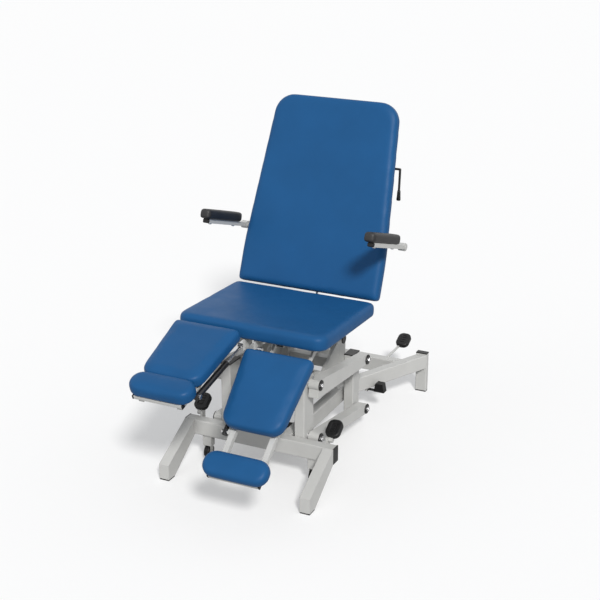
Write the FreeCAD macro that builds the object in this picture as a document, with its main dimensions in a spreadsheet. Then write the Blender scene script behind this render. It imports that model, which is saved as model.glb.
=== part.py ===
# Podiatry treatment chair: a foot-pumped parallelogram base, a three-section upholstered top
# with split leg sections, sliding footrests, folding armrests and castors that lower at a pedal.
# Millimetres. +X is the sitter's left, -Y is where the feet point, +Z is up, floor at Z = 0.
import FreeCAD, Part
import Sketcher
import math
import os

Vector = FreeCAD.Vector
Rotation = FreeCAD.Rotation

doc = FreeCAD.newDocument("treatment_chair")

# ---------------------------------------------------------------- driving sizes
SIZES = dict(
    # rectangular tube of the base
    tube_tall=60, tube_deep=40, tube_wall=2.5, tube_corner=4, cap_plate=4,
    front_face_y=-323.3, base_width=610, base_clear=106,
    # rails from the front crossbar to the rear legs
    rail_middle_x=97, rail_straight=534, rail_long=912,
    rear_bar_setback=76,
    # feet
    foot_reach=194, foot_end_tall=57, foot_flat=44, rubber_thick=5, rubber_inset=1,
    rear_leg_tall=165, rear_leg_wide=48, rear_leg_deep=25, rear_leg_inset=6,
    # lift columns, posts and arms
    column_middle_x=150, column_wide=40, column_deep=80, column_top=398,
    low_pivot_z=156, pivot_spacing=210, arm_length=434, arm_droop=8.4,
    post_deep=60, post_below=30, post_above=15,
    pin_radius=10, collar_radius=16, collar_thick=5.6, running_gap=0.05, open_gap=0.3, side_gap=0.3,
    washer_thick=3, bolt_head_radius=8, bolt_head_tall=6,
    arm_wide=40, arm_tall=40, arm_wall=3, hub_radius=20, hub_web=26,
    upper_arm_depth_front=48, upper_arm_depth_rear=20, upper_arm_nose=12,
    tie_reach=120, tie_radius=15,
    upright_wide=40, upright_deep=60, upright_lap=15, upright_below=112,
    lift_bar_rise=95, gusset_thick=10, gusset_reach=159, gusset_tip_rise=128, gusset_rise=205,
    gusset_shelf=10,
    # hydraulic pump and its ram
    pump_radius=34, pump_offset=104, pump_plate_thick=12, pump_plate_deep=80,
    pump_rise=137, pump_sump=46, ram_radius=14, saddle_tall=12, saddle_deep=84, saddle_wide=50,
    # seat section
    seat_setback=396, seat_z=593, seat_tilt=2.2, seat_half_wide=293, seat_long=459,
    cushion_thick=47, board_thick=12, board_inset=22, seat_front_radius=45, seat_rear_radius=15,
    seat_joint=2,
    frame_tube_radius=15, frame_rail_wide=30, frame_rail_tall=30, frame_rail_x=92,
    frame_rail_front=390, capped_tube_half=271, capped_tube_reach=242,
    rear_tube_reach=118, rear_tube_half=170,
    leg_hinge_reach=351.2, leg_hinge_radius=10, leg_hinge_half=236, leg_hub_radius=14.3,
    # backrest
    back_axis_behind=28, back_axis_drop=66, back_lean=22.1, back_hinge_radius=12.5,
    back_hinge_half=150, back_front=51, back_start=49.5, back_long=740, back_half_low=293,
    back_half_high=250, back_parallel=148, back_corner=70, back_cushion=43,
    back_tube=25, back_tube_x=120, back_tube_top=640, back_cross_low=250, back_cross_high=600,
    back_lug_thick=8, back_lug_radius=19,
    # gas spring of the backrest
    back_spring_setback=50, back_spring_drop=197, back_spring_height=180, back_spring_behind=40,
    spring_radius=11, spring_pin=5, lug_thick=8, spring_rod=5, spring_floor=15, spring_eye=9,
    back_spring_body=200, spring_lap=55,
    # release lever of the backrest
    lever_height=554, lever_behind=24, lever_x=273, lever_radius=4.5, lever_drop=76, lever_kick=24,
    grip_radius=8, grip_long=38,
    # armrests
    arm_pad_x=330, arm_pad_wide=44, arm_pad_long=274, arm_pad_tall=38, arm_pad_start=72,
    arm_bar_x=332, arm_bar_wide=25, arm_bar_tall=16, arm_bar_front=318, arm_bar_rear=17,
    arm_height=268, arm_tip=4.5, arm_axis_behind=24, arm_hub_radius=15, arm_pin_radius=9, arm_pad_radius=14,
    # leg sections
    leg_tuck=2.8, leg_top=117, leg_long=293, leg_middle_x=142.5, leg_half_rear=128.2,
    leg_half_front=111.2, leg_cushion=46, leg_board_inset=16, leg_front_radius=44,
    leg_rear_radius=15, leg_angle_left=17.7, leg_angle_right=39.4, leg_tube=25, leg_tube_wall=2, leg_web_bend=60, leg_cross_radius=8,
    leg_tube_offset=75, leg_arm_thick=8, leg_arm_reach=230,
    # sliding footrests
    footrest_half=127.5, footrest_long=92, footrest_thick=48, footrest_corner=45,
    footrest_rest_gap=3, footrest_right_out=95.6, slide_bar=20, slide_lap=190,
    footrest_tube_half=96,
    # gas springs of the leg sections
    leg_spring_x=36, bridge_thick=3, leg_spring_ahead=84.8, leg_spring_drop=91, leg_spring_end=403,
    leg_spring_height=44, leg_spring_body=205,
    # castors
    castor_x=217, castor_radius=25, castor_wide=22, castor_z=37, castor_stem_wide=28,
    castor_stem_deep=18, castor_guide_thick=4, castor_guide_low=64, castor_axle=4, wheel_clear=1,
    # pedals
    pedal_x=272, pedal_wide=72, pedal_long=62, pedal_thick=20, pedal_tilt=35, pedal_round=22,
    pedal_axis_z=174, pedal_axis_behind=14, pedal_out_y=36, pedal_rise=22, pedal_rod=5,
    pump_pedal_x=128, pump_pedal_axis_z=132, pump_pad_shift=10, pump_pad_tilt=14, pump_pad_lift=7.2, pedal_hub_long=16,
    pad_lift=9, pump_pedal_reach=212, pump_pedal_rise=3,
    side_pedal_reach=640, side_pedal_out=56, side_pedal_long=30,
    side_pedal_wide=44, side_pedal_top=30.8, side_pedal_tall=36, side_pedal_drop=10, side_hub_radius=8,
)


class Size:
    """A length or angle that knows its value and the sheet expression it comes from."""

    def __init__(self, value, text):
        self.value = float(value)
        self.text = text

    def __add__(self, other):
        other = as_size(other)
        return Size(self.value + other.value, "(%s + %s)" % (self.text, other.text))

    def __radd__(self, other):
        return as_size(other) + self

    def __sub__(self, other):
        other = as_size(other)
        return Size(self.value - other.value, "(%s - %s)" % (self.text, other.text))

    def __rsub__(self, other):
        return as_size(other) - self

    def __mul__(self, other):
        other = as_size(other)
        return Size(self.value * other.value, "(%s * %s)" % (self.text, other.text))

    def __rmul__(self, other):
        return as_size(other) * self

    def __truediv__(self, other):
        other = as_size(other)
        return Size(self.value / other.value, "(%s / %s)" % (self.text, other.text))

    def __neg__(self):
        return Size(-self.value, "(0 - %s)" % self.text)


def as_size(thing):
    if isinstance(thing, Size):
        return thing
    return Size(thing, "(%s)" % repr(float(thing)))


def sine(angle):
    return Size(math.sin(math.radians(angle.value)), "sin(%s)" % angle.text)


def cosine(angle):
    return Size(math.cos(math.radians(angle.value)), "cos(%s)" % angle.text)


class Sheet:
    """The spreadsheet of driving sizes, read as attributes."""

    def __init__(self, values):
        self.cells = doc.addObject("Spreadsheet::Sheet", "Sizes")
        for row, (name, value) in enumerate(values.items(), start=1):
            self.cells.set("A%d" % row, name)
            self.cells.set("B%d" % row, str(value))
            self.cells.setAlias("B%d" % row, name)
            setattr(self, name, Size(value, "Sizes." + name))


d = Sheet(SIZES)
doc.recompute()

MIRRORED = Vector(1, 0, 0)
nodes = []


# ---------------------------------------------------------------- shared makers
def bind(thing, prop, size):
    """Ties a property to the sheet."""
    size = as_size(size)
    if "Sizes." in size.text:
        thing.setExpression(prop, size.text)
    else:
        setattr(thing, prop, size.value)


def place(thing, x=0, y=0, z=0, turn=None, axis=Vector(1, 0, 0)):
    """Puts a thing at a bound position, turned about one axis by a bound angle."""
    x, y, z = as_size(x), as_size(y), as_size(z)
    angle = as_size(turn if turn is not None else 0)
    thing.Placement = FreeCAD.Placement(Vector(x.value, y.value, z.value), Rotation(axis, angle.value))
    for name, size in (("x", x), ("y", y), ("z", z)):
        if "Sizes." in size.text:
            thing.setExpression("Placement.Base." + name, size.text)
    if "Sizes." in angle.text:
        thing.setExpression("Placement.Rotation.Angle", angle.text)
    return thing


def label(thing, name):
    """Makes a thing one of the exported nodes."""
    thing.Label = name
    nodes.append(thing)
    return thing


def box(x0, x1, y0, y1, z0, z1):
    """A block between two corners."""
    block = doc.addObject("Part::Box", "Block")
    x0, x1, y0, y1, z0, z1 = [as_size(v) for v in (x0, x1, y0, y1, z0, z1)]
    bind(block, "Length", x1 - x0)
    bind(block, "Width", y1 - y0)
    bind(block, "Height", z1 - z0)
    return place(block, x0, y0, z0)


DIRECTIONS = {"x": (Vector(0, 1, 0), 90), "y": (Vector(1, 0, 0), -90), "z": (Vector(0, 0, 1), 0)}


def rod(direction, radius, length, x=0, y=0, z=0):
    """A round bar that starts at a point and runs along +X, +Y or +Z."""
    bar = doc.addObject("Part::Cylinder", "Bar")
    bind(bar, "Radius", radius)
    bind(bar, "Height", length)
    axis, angle = DIRECTIONS[direction]
    return place(bar, x, y, z, angle, axis)


def fuse(*parts):
    joined = doc.addObject("Part::MultiFuse", "Weldment")
    joined.Shapes = list(parts)
    joined.Refine = True
    return joined


def cut(base, *tools):
    result = doc.addObject("Part::Cut", "Machined")
    result.Base = base
    result.Tool = tools[0] if len(tools) == 1 else fuse(*tools)
    result.Refine = True
    return result


def group(*parts):
    """Separate solids that share one node."""
    holder = doc.addObject("Part::Compound", "Set")
    holder.Links = list(parts)
    return holder


def mirror(thing):
    """The same piece on the other side of the chair."""
    twin = doc.addObject("Part::Mirroring", "Twin")
    twin.Source = thing
    twin.Normal = MIRRORED
    return twin


def pair(thing):
    return group(thing, mirror(thing))


def origin_plane(body, role):
    for feature in body.Origin.OriginFeatures:
        if feature.Role == role:
            return feature
    raise ValueError(role)


def new_body(name):
    return doc.addObject("PartDesign::Body", name)


def new_sketch(body, name, role):
    sketch = body.newObject("Sketcher::SketchObject", name)
    sketch.AttachmentSupport = [(origin_plane(body, role), "")]
    sketch.MapMode = "FlatFace"
    return sketch


def raise_sketch(sketch, offset):
    """Moves a sketch off its plane."""
    offset = as_size(offset)
    sketch.AttachmentOffset = FreeCAD.Placement(Vector(0, 0, offset.value), Rotation())
    if "Sizes." in offset.text:
        sketch.setExpression("AttachmentOffset.Base.z", offset.text)


def pin_point(sketch, geometry, end, x, y):
    """Fixes one end of a sketch line at a bound place."""
    for kind, size in (("DistanceX", as_size(x)), ("DistanceY", as_size(y))):
        index = sketch.addConstraint(Sketcher.Constraint(kind, -1, 1, geometry, end, size.value))
        if "Sizes." in size.text:
            sketch.setExpression("Constraints[%d]" % index, size.text)


def draw_outline(sketch, points):
    """A closed outline of straight lines through bound points."""
    points = [(as_size(x), as_size(y)) for x, y in points]
    first = sketch.GeometryCount
    for index, (x, y) in enumerate(points):
        after_x, after_y = points[(index + 1) % len(points)]
        start = Vector(x.value, y.value, 0)
        sketch.addGeometry(Part.LineSegment(start, Vector(after_x.value, after_y.value, 0)), False)
    for index, (x, y) in enumerate(points):
        line = first + index
        following = first + (index + 1) % len(points)
        sketch.addConstraint(Sketcher.Constraint("Coincident", line, 2, following, 1))
        pin_point(sketch, line, 1, x, y)


def draw_circle(sketch, x, y, radius):
    x, y, radius = as_size(x), as_size(y), as_size(radius)
    index = sketch.addGeometry(Part.Circle(Vector(x.value, y.value, 0), Vector(0, 0, 1), radius.value), False)
    pin_point(sketch, index, 3, x, y)
    constraint = sketch.addConstraint(Sketcher.Constraint("Radius", index, radius.value))
    sketch.setExpression("Constraints[%d]" % constraint, radius.text)


def extrude(body, name, kind, sketch, length, both_ways=False):
    feature = body.newObject(kind, name)
    feature.Profile = sketch
    bind(feature, "Length", length)
    feature.Midplane = both_ways
    feature.Reversed = sketch.AttachmentSupport[0][0].Role == "XZ_Plane"
    return feature


def edges_where(feature, test):
    """Names of the edges whose two ends pass a test."""
    found = []
    for index, edge in enumerate(feature.Shape.Edges, start=1):
        ends = [vertex.Point for vertex in edge.Vertexes]
        if len(ends) == 2 and test(ends[0], ends[1]):
            found.append("Edge%d" % index)
    return found


def round_edges(body, feature, test, radius):
    doc.recompute()
    fillet = body.newObject("PartDesign::Fillet", "Rounding")
    fillet.Base = (feature, edges_where(feature, test))
    bind(fillet, "Radius", radius)
    doc.recompute()
    return fillet


def tube(name, wide, deep, long, wall=None, role="XY_Plane"):
    """Rectangular tube with rounded outer corners, centred on its axis; runs from its plane."""
    body = new_body(name)
    sketch = new_sketch(body, name + "_section", role)
    wall = d.tube_wall if wall is None else wall
    for inset in (as_size(0), wall):
        half_wide = as_size(wide) / 2 - inset
        half_deep = as_size(deep) / 2 - inset
        draw_outline(sketch, ((-half_wide, -half_deep), (half_wide, -half_deep),
                              (half_wide, half_deep), (-half_wide, half_deep)))
    pad = extrude(body, name + "_length", "PartDesign::Pad", sketch, long)
    doc.recompute()
    edge_x = as_size(wide).value / 2
    edge_y = as_size(deep).value / 2
    axes = {"XY_Plane": (0, 1, 2), "XZ_Plane": (0, 2, 1), "YZ_Plane": (1, 2, 0)}[role]

    def is_outer_corner(a, b):
        long_way = abs(abs(a[axes[2]] - b[axes[2]]) - as_size(long).value) < 0.01
        return long_way and abs(abs(a[axes[0]]) - edge_x) < 0.01 and abs(abs(a[axes[1]]) - edge_y) < 0.01

    round_edges(body, pad, is_outer_corner, d.tube_corner)
    return body


def plate(name, outline, thick, role="YZ_Plane", start=0, holes=()):
    """A flat plate: an outline with round holes, extruded from a raised plane."""
    body = new_body(name)
    sketch = new_sketch(body, name + "_outline", role)
    raise_sketch(sketch, start)
    draw_outline(sketch, outline)
    for x, y, radius in holes:
        draw_circle(sketch, x, y, radius)
    extrude(body, name + "_plate", "PartDesign::Pad", sketch, thick)
    doc.recompute()
    return body


def turned(name, profile):
    """A round piece: a half profile of (along X, radius) points turned about X."""
    body = new_body(name)
    sketch = new_sketch(body, name + "_profile", "XY_Plane")
    draw_outline(sketch, profile)
    spin = body.newObject("PartDesign::Revolution", name + "_turned")
    spin.Profile = sketch
    spin.ReferenceAxis = (sketch, ["H_Axis"])
    spin.Angle = 360
    doc.recompute()
    return body


# ---------------------------------------------------------------- base frame
seat_rear_y = d.front_face_y + d.seat_setback
back_axis_y = seat_rear_y + d.back_axis_behind
back_axis_z = d.seat_z - d.back_axis_drop
back_root_y = back_axis_y + d.back_spring_setback
back_root_z = back_axis_z - d.back_spring_drop
half_base = d.base_width / 2
bar_rear_y = d.front_face_y + d.tube_deep
bar_middle_z = d.base_clear + d.tube_tall / 2
bar_top_z = d.base_clear + d.tube_tall
rail_end_y = bar_rear_y + d.rail_long
rear_leg_outer = half_base - d.rear_leg_inset
rear_leg_x = rear_leg_outer - d.rear_leg_wide / 2

crossbar = tube("FrontBar", d.tube_deep, d.tube_tall, d.base_width - d.cap_plate * 2, role="YZ_Plane")
place(crossbar, d.cap_plate - half_base, d.front_face_y + d.tube_deep / 2, bar_middle_z)
label(crossbar, "front_crossbar")


def rail_outline(inset):
    """Plan of one rail: straight, then bent outward to the rear leg."""
    half = d.tube_deep / 2 - inset
    bend_y = bar_rear_y + d.rail_straight
    run = rail_end_y - bend_y
    shift = rear_leg_x - d.rail_middle_x
    slant = math.atan2(shift.value, run.value)
    stretch = Size(1 / math.cos(slant), "sqrt(1 + (%s / %s)^2)" % (shift.text, run.text))
    bend = Size(math.tan(slant / 2), "tan(atan(%s / %s) / 2)" % (shift.text, run.text))
    return ((d.rail_middle_x - half, bar_rear_y), (d.rail_middle_x + half, bar_rear_y),
            (d.rail_middle_x + half, bend_y - half * bend),
            (rear_leg_x + half * stretch, rail_end_y), (rear_leg_x - half * stretch, rail_end_y),
            (d.rail_middle_x - half, bend_y + half * bend))


def rail_edge(a, b):
    """Long edges of the rail, not the two open ends."""
    level = abs(a.z - b.z) < 0.01
    return level and abs(a.y - b.y) > d.tube_tall.value


rail_skin = plate("RailSkin", rail_outline(0), d.tube_tall, "XY_Plane", d.base_clear)
round_edges(rail_skin, rail_skin.Tip, rail_edge, d.tube_corner)
rail_core = plate("RailCore", rail_outline(d.tube_wall), d.tube_tall - d.tube_wall * 2, "XY_Plane",
                  d.base_clear + d.tube_wall)
label(pair(cut(rail_skin, rail_core)), "base_rails")

rear_bar_y = rail_end_y - d.rear_bar_setback - d.tube_deep / 2
splay_share = (rear_bar_y - bar_rear_y - d.rail_straight) / (d.rail_long - d.rail_straight)
rear_bar_half = d.rail_middle_x + (rear_leg_x - d.rail_middle_x) * splay_share
rear_bar = tube("RearBar", d.tube_deep, d.tube_tall, rear_bar_half * 2, role="YZ_Plane")
place(rear_bar, -rear_bar_half, rear_bar_y, bar_middle_z)
rail_block = plate("RailBlock", rail_outline(0), d.tube_tall, "XY_Plane", d.base_clear)
fish_mouthed = cut(rear_bar, rail_block, mirror(rail_block))
pump_axis_y = rear_bar_y + d.tube_deep / 2 + d.pedal_axis_behind
lug_half = d.pedal_rod + d.castor_guide_thick
pedal_lug = box(d.pump_pedal_x - lug_half * 2, d.pump_pedal_x - lug_half, rear_bar_y + d.tube_deep / 2,
                pump_axis_y + lug_half, d.pump_pedal_axis_z - lug_half, d.pump_pedal_axis_z + lug_half)
pedal_pin = rod("x", d.pedal_rod, lug_half + d.pedal_hub_long + d.side_gap, d.pump_pedal_x - lug_half * 2,
                pump_axis_y, d.pump_pedal_axis_z)
label(group(fish_mouthed, fuse(pedal_lug, pedal_pin)), "rear_crossbar")

rear_leg = tube("RearLeg", d.rear_leg_wide, d.rear_leg_deep, d.rear_leg_tall)
place(rear_leg, rear_leg_x, rail_end_y + d.rear_leg_deep / 2, d.rubber_thick)
label(pair(rear_leg), "rear_legs")
rear_cap = box(rear_leg_x - d.rear_leg_wide / 2, rear_leg_outer, rail_end_y, rail_end_y + d.rear_leg_deep,
               d.rubber_thick + d.rear_leg_tall, d.rubber_thick + d.rear_leg_tall + d.cap_plate)
front_cap = box(half_base - d.cap_plate, half_base, d.front_face_y, bar_rear_y, d.base_clear, bar_top_z)
label(group(pair(rear_cap), pair(front_cap)), "base_end_caps")

foot_end_y = d.front_face_y - d.foot_reach
foot_outer = half_base - d.rubber_inset


def foot_outline(inset):
    """Side of one front foot: slanted down from the crossbar to a short upright end."""
    return ((d.front_face_y, d.base_clear + inset), (d.front_face_y, bar_top_z - inset),
            (foot_end_y + inset, d.rubber_thick + d.foot_end_tall - inset),
            (foot_end_y + inset, d.rubber_thick + inset),
            (foot_end_y + d.foot_flat, d.rubber_thick + inset))


foot_skin = plate("FootSkin", foot_outline(0), d.tube_deep, "YZ_Plane", foot_outer - d.tube_deep)
foot_core = plate("FootCore", foot_outline(d.tube_wall), d.tube_deep - d.tube_wall * 2, "YZ_Plane",
                  foot_outer - d.tube_deep + d.tube_wall)
label(pair(cut(foot_skin, foot_core)), "front_feet")
front_rubber = box(foot_outer - d.tube_deep + d.rubber_inset, foot_outer - d.rubber_inset,
                   foot_end_y + d.rubber_inset, foot_end_y + d.foot_flat - d.rubber_inset, 0, d.rubber_thick)
rear_rubber = box(rear_leg_x - d.rear_leg_wide / 2 + d.rubber_inset, rear_leg_outer - d.rubber_inset,
                  rail_end_y + d.rubber_inset, rail_end_y + d.rear_leg_deep - d.rubber_inset,
                  0, d.rubber_thick)
label(group(pair(front_rubber), pair(rear_rubber)), "rubber_feet")

# ---------------------------------------------------------------- lift columns and pins
pivot_y = bar_rear_y + d.column_deep / 2
column_outer = d.column_middle_x + d.column_wide / 2
column = tube("Column", d.column_wide, d.column_deep, d.column_top - d.base_clear - d.cap_plate)
place(column, d.column_middle_x, pivot_y, d.base_clear)
label(pair(column), "front_columns")
column_cap = box(d.column_middle_x - d.column_wide / 2, column_outer, bar_rear_y, bar_rear_y + d.column_deep,
                 d.column_top - d.cap_plate, d.column_top)
label(pair(column_cap), "column_caps")

upper_pivot_z = d.low_pivot_z + d.pivot_spacing
reach_y = d.arm_length * cosine(d.arm_droop)
drop_z = d.arm_length * sine(d.arm_droop)
rear_pivot_y = pivot_y + reach_y
rear_low_z = d.low_pivot_z - drop_z
rear_top_z = rear_low_z + d.pivot_spacing
arm_inner = column_outer + d.collar_thick + d.side_gap
arm_outer = arm_inner + d.arm_wide


def arm_pin(name, y, z):
    """Pivot pin: collar against the tube, shaft through the arm, washer and bolt head outside."""
    washer_in = arm_outer + d.side_gap
    washer_out = washer_in + d.washer_thick
    profile = ((column_outer, 0), (column_outer, d.collar_radius),
               (column_outer + d.collar_thick, d.collar_radius), (column_outer + d.collar_thick, d.pin_radius),
               (washer_in, d.pin_radius), (washer_in, d.collar_radius), (washer_out, d.collar_radius),
               (washer_out, d.bolt_head_radius), (washer_out + d.bolt_head_tall, d.bolt_head_radius),
               (washer_out + d.bolt_head_tall, 0))
    return place(turned(name, profile), 0, y, z)


label(group(pair(arm_pin("FrontLowPin", pivot_y, d.low_pivot_z)),
            pair(arm_pin("FrontTopPin", pivot_y, upper_pivot_z))), "front_arm_pins")
label(group(pair(arm_pin("RearLowPin", rear_pivot_y, rear_low_z)),
            pair(arm_pin("RearTopPin", rear_pivot_y, rear_top_z))), "rear_arm_pins")


# ---------------------------------------------------------------- parallelogram arms
def lift_arm(name, outline, core):
    """One arm in its own frame: a box section between two bored hubs, along +Y."""
    skin = plate(name + "Skin", outline, d.arm_wide, "YZ_Plane", arm_inner)
    inside = plate(name + "Core", core, d.arm_wide - d.arm_wall * 2, "YZ_Plane", arm_inner + d.arm_wall)
    hubs = [rod("x", d.hub_radius, d.arm_wide, arm_inner, y, 0) for y in (as_size(0), d.arm_length)]
    bores = [rod("x", d.pin_radius + d.running_gap, d.arm_wide, arm_inner, as_size(0), 0),
             rod("x", d.pin_radius + d.open_gap, d.arm_wide, arm_inner, d.arm_length, 0)]
    return cut(fuse(cut(skin, inside), *hubs), *bores)


half_arm = d.arm_tall / 2
lower_outline = ((0, -half_arm), (0, half_arm), (d.arm_length, half_arm), (d.arm_length, -half_arm))
lower_core = ((d.hub_web, d.arm_wall - half_arm), (d.hub_web, half_arm - d.arm_wall),
              (d.arm_length - d.hub_web, half_arm - d.arm_wall),
              (d.arm_length - d.hub_web, d.arm_wall - half_arm))
lower_arm = lift_arm("LowerArm", lower_outline, lower_core)
lower_arms = pair(lower_arm)
place(lower_arms, 0, pivot_y, d.low_pivot_z, -d.arm_droop)
label(lower_arms, "lower_lift_arms")

upper_outline = ((-d.upper_arm_nose, -d.upper_arm_depth_front), (-d.upper_arm_nose, half_arm),
                 (d.arm_length, half_arm), (d.arm_length, -d.upper_arm_depth_rear))
taper = d.upper_arm_depth_front - d.upper_arm_depth_rear
upper_core = ((d.hub_web, d.arm_wall * 2 - d.upper_arm_depth_front + taper * 0.1), (d.hub_web, half_arm - d.arm_wall),
              (d.arm_length - d.hub_web, half_arm - d.arm_wall),
              (d.arm_length - d.hub_web, d.arm_wall - d.upper_arm_depth_rear))
upper_arm = lift_arm("UpperArm", upper_outline, upper_core)
tie = rod("x", d.tie_radius, arm_inner * 2, -arm_inner, d.tie_reach, 0)
upper_arms = group(pair(upper_arm), tie)
place(upper_arms, 0, pivot_y, upper_pivot_z, -d.arm_droop)
label(upper_arms, "upper_lift_arms")

# ---------------------------------------------------------------- hydraulic pump and ram
pump_y = pivot_y + d.pump_offset
rail_inner = d.rail_middle_x - d.tube_deep / 2
tie_rest_z = upper_pivot_z - d.tie_reach * sine(d.arm_droop)
pump_base = box(-rail_inner, rail_inner, pump_y - d.pump_plate_deep / 2, pump_y + d.pump_plate_deep / 2,
                d.base_clear, d.base_clear + d.pump_plate_thick)
pump_barrel = rod("z", d.pump_radius, d.pump_rise + d.pump_sump, 0, pump_y, d.base_clear - d.pump_sump)
ram_bore = rod("z", d.ram_radius + d.running_gap, d.pump_rise + d.pump_sump - d.pump_plate_thick, 0, pump_y,
               d.base_clear - d.pump_sump + d.pump_plate_thick)
label(cut(fuse(pump_base, pump_barrel), ram_bore), "pump_cylinder")
ram_low = d.base_clear - d.pump_sump + d.pump_plate_thick + d.side_gap
saddle_top = tie_rest_z - d.tie_radius - d.side_gap
ram = rod("z", d.ram_radius, saddle_top - ram_low, 0, pump_y, ram_low)
saddle = box(-d.saddle_wide / 2, d.saddle_wide / 2, pump_y - d.saddle_deep / 2, pump_y + d.saddle_deep / 2,
             saddle_top - d.saddle_tall, saddle_top)
label(fuse(ram, saddle), "pump_ram")

# ---------------------------------------------------------------- lift frame
post_low = rear_low_z - d.post_below
post_high = rear_top_z + d.post_above
post = tube("Post", d.column_wide, d.post_deep, post_high - post_low)
place(post, d.column_middle_x, rear_pivot_y, post_low)
label(pair(post), "lift_posts")
post_front_y = rear_pivot_y - d.post_deep / 2
seat_frame_top = d.cushion_thick + d.board_thick
upright_y = post_front_y - d.upright_deep / 2 + d.upright_lap
upright_x = d.column_middle_x - d.column_wide / 2 - d.upright_wide / 2
upright_low = rear_top_z - d.upright_below
rail_tail = upright_y + d.upright_deep / 2 - seat_rear_y
upright_high = d.seat_z - rail_tail * sine(d.seat_tilt) - (d.cushion_thick + d.board_thick + d.frame_rail_tall)
upright = tube("Upright", d.upright_wide, d.upright_deep, upright_high - upright_low)
place(upright, upright_x, upright_y, upright_low)
gusset_rear = upright_y - d.upright_deep / 2
gusset_z = upright_low
gusset_outline = ((gusset_rear, gusset_z), (gusset_rear, gusset_z + d.gusset_rise),
                  (gusset_rear - d.gusset_shelf, gusset_z + d.gusset_rise),
                  (gusset_rear - d.gusset_reach, gusset_z + d.gusset_tip_rise))
gusset = plate("Gusset", gusset_outline, d.gusset_thick, "YZ_Plane", upright_x + d.upright_wide / 2 - d.gusset_thick)
inner_x = upright_x - d.upright_wide / 2
lift_bars = [tube("LiftBar%d" % number, d.upright_wide, d.upright_wide, inner_x * 2, role="YZ_Plane")
             for number in (1, 2)]
place(lift_bars[0], -inner_x, upright_y, upright_low + d.upright_wide / 2)
place(lift_bars[1], -inner_x, upright_y, upright_low + d.lift_bar_rise)
label(pair(gusset), "lift_gussets")
post_cap = box(d.column_middle_x - d.column_wide / 2, column_outer, post_front_y, post_front_y + d.post_deep,
               post_high, post_high + d.cap_plate)


# ---------------------------------------------------------------- seat section
def on_seat(thing):
    """Drawn in the seat's frame: Y = 0 at its rear edge, Z = 0 on its top, tipped with the seat."""
    return place(thing, 0, seat_rear_y, d.seat_z, -d.seat_tilt)


def seat_point(along, up):
    """World Y and Z of a point in the seat's frame."""
    along, up = as_size(along), as_size(up)
    y = seat_rear_y + along * cosine(d.seat_tilt) + up * sine(d.seat_tilt)
    z = d.seat_z - along * sine(d.seat_tilt) + up * cosine(d.seat_tilt)
    return y, z


def pad_block(name, outline, thick, low, front_y, rear_y, front_radius, rear_radius):
    """Upholstered block: plan outline, four rounded corners, eased top edges."""
    body = new_body(name)
    sketch = new_sketch(body, name + "_plan", "XY_Plane")
    raise_sketch(sketch, low)
    draw_outline(sketch, outline)
    feature = extrude(body, name + "_block", "PartDesign::Pad", sketch, thick)
    front, rear = as_size(front_y).value, as_size(rear_y).value

    def upright_at(y):
        def test(a, b):
            return abs(a.z - b.z) > 1 and abs(a.y - y) < 0.01 and abs(b.y - y) < 0.01
        return test

    feature = round_edges(body, feature, upright_at(front), front_radius)
    feature = round_edges(body, feature, upright_at(rear), rear_radius)
    return body


seat_front = -d.seat_long
seat_back = -d.seat_joint
seat_outline = ((-d.seat_half_wide, seat_front), (d.seat_half_wide, seat_front),
                (d.seat_half_wide, seat_back), (-d.seat_half_wide, seat_back))
seat = pad_block("SeatPad", seat_outline, d.cushion_thick, -d.cushion_thick, seat_front, seat_back,
                 d.seat_front_radius, d.seat_rear_radius)
label(on_seat(seat), "seat_cushion")
board_half = d.seat_half_wide - d.board_inset
board_front = seat_front + d.board_inset
board_outline = ((-board_half, board_front), (board_half, board_front),
                 (board_half, -d.board_inset), (-board_half, -d.board_inset))
seat_board = pad_block("SeatBoard", board_outline, d.board_thick - d.side_gap, -seat_frame_top,
                       board_front, -d.board_inset, d.seat_front_radius - d.board_inset,
                       d.seat_rear_radius - d.board_inset / 2)
label(on_seat(seat_board), "seat_board")

frame_mid = -seat_frame_top - d.frame_rail_tall / 2
seat_rail = tube("SeatRail", d.frame_rail_wide, d.frame_rail_tall, d.frame_rail_front + rail_tail,
                 role="XZ_Plane")
place(seat_rail, d.frame_rail_x, -d.frame_rail_front, frame_mid)
capped_tube = rod("x", d.frame_tube_radius, d.capped_tube_half * 2, -d.capped_tube_half,
                  -d.capped_tube_reach, frame_mid)
rear_tube = rod("x", d.frame_tube_radius, d.rear_tube_half * 2, -d.rear_tube_half,
                -d.rear_tube_reach, frame_mid)
hinge_up = -seat_frame_top - d.leg_hub_radius - d.side_gap * 2
leg_start = d.seat_long + d.seat_joint - d.leg_hinge_reach - d.leg_tuck
leg_spring_reach = d.leg_hinge_reach + d.leg_spring_ahead
leg_hinge = rod("x", d.leg_hinge_radius, d.leg_hinge_half * 2, -d.leg_hinge_half, -d.leg_hinge_reach, hinge_up)
back_axis_in = d.back_axis_behind * cosine(d.seat_tilt) + d.back_axis_drop * sine(d.seat_tilt)
back_axis_up = d.back_axis_behind * sine(d.seat_tilt) - d.back_axis_drop * cosine(d.seat_tilt)


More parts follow.
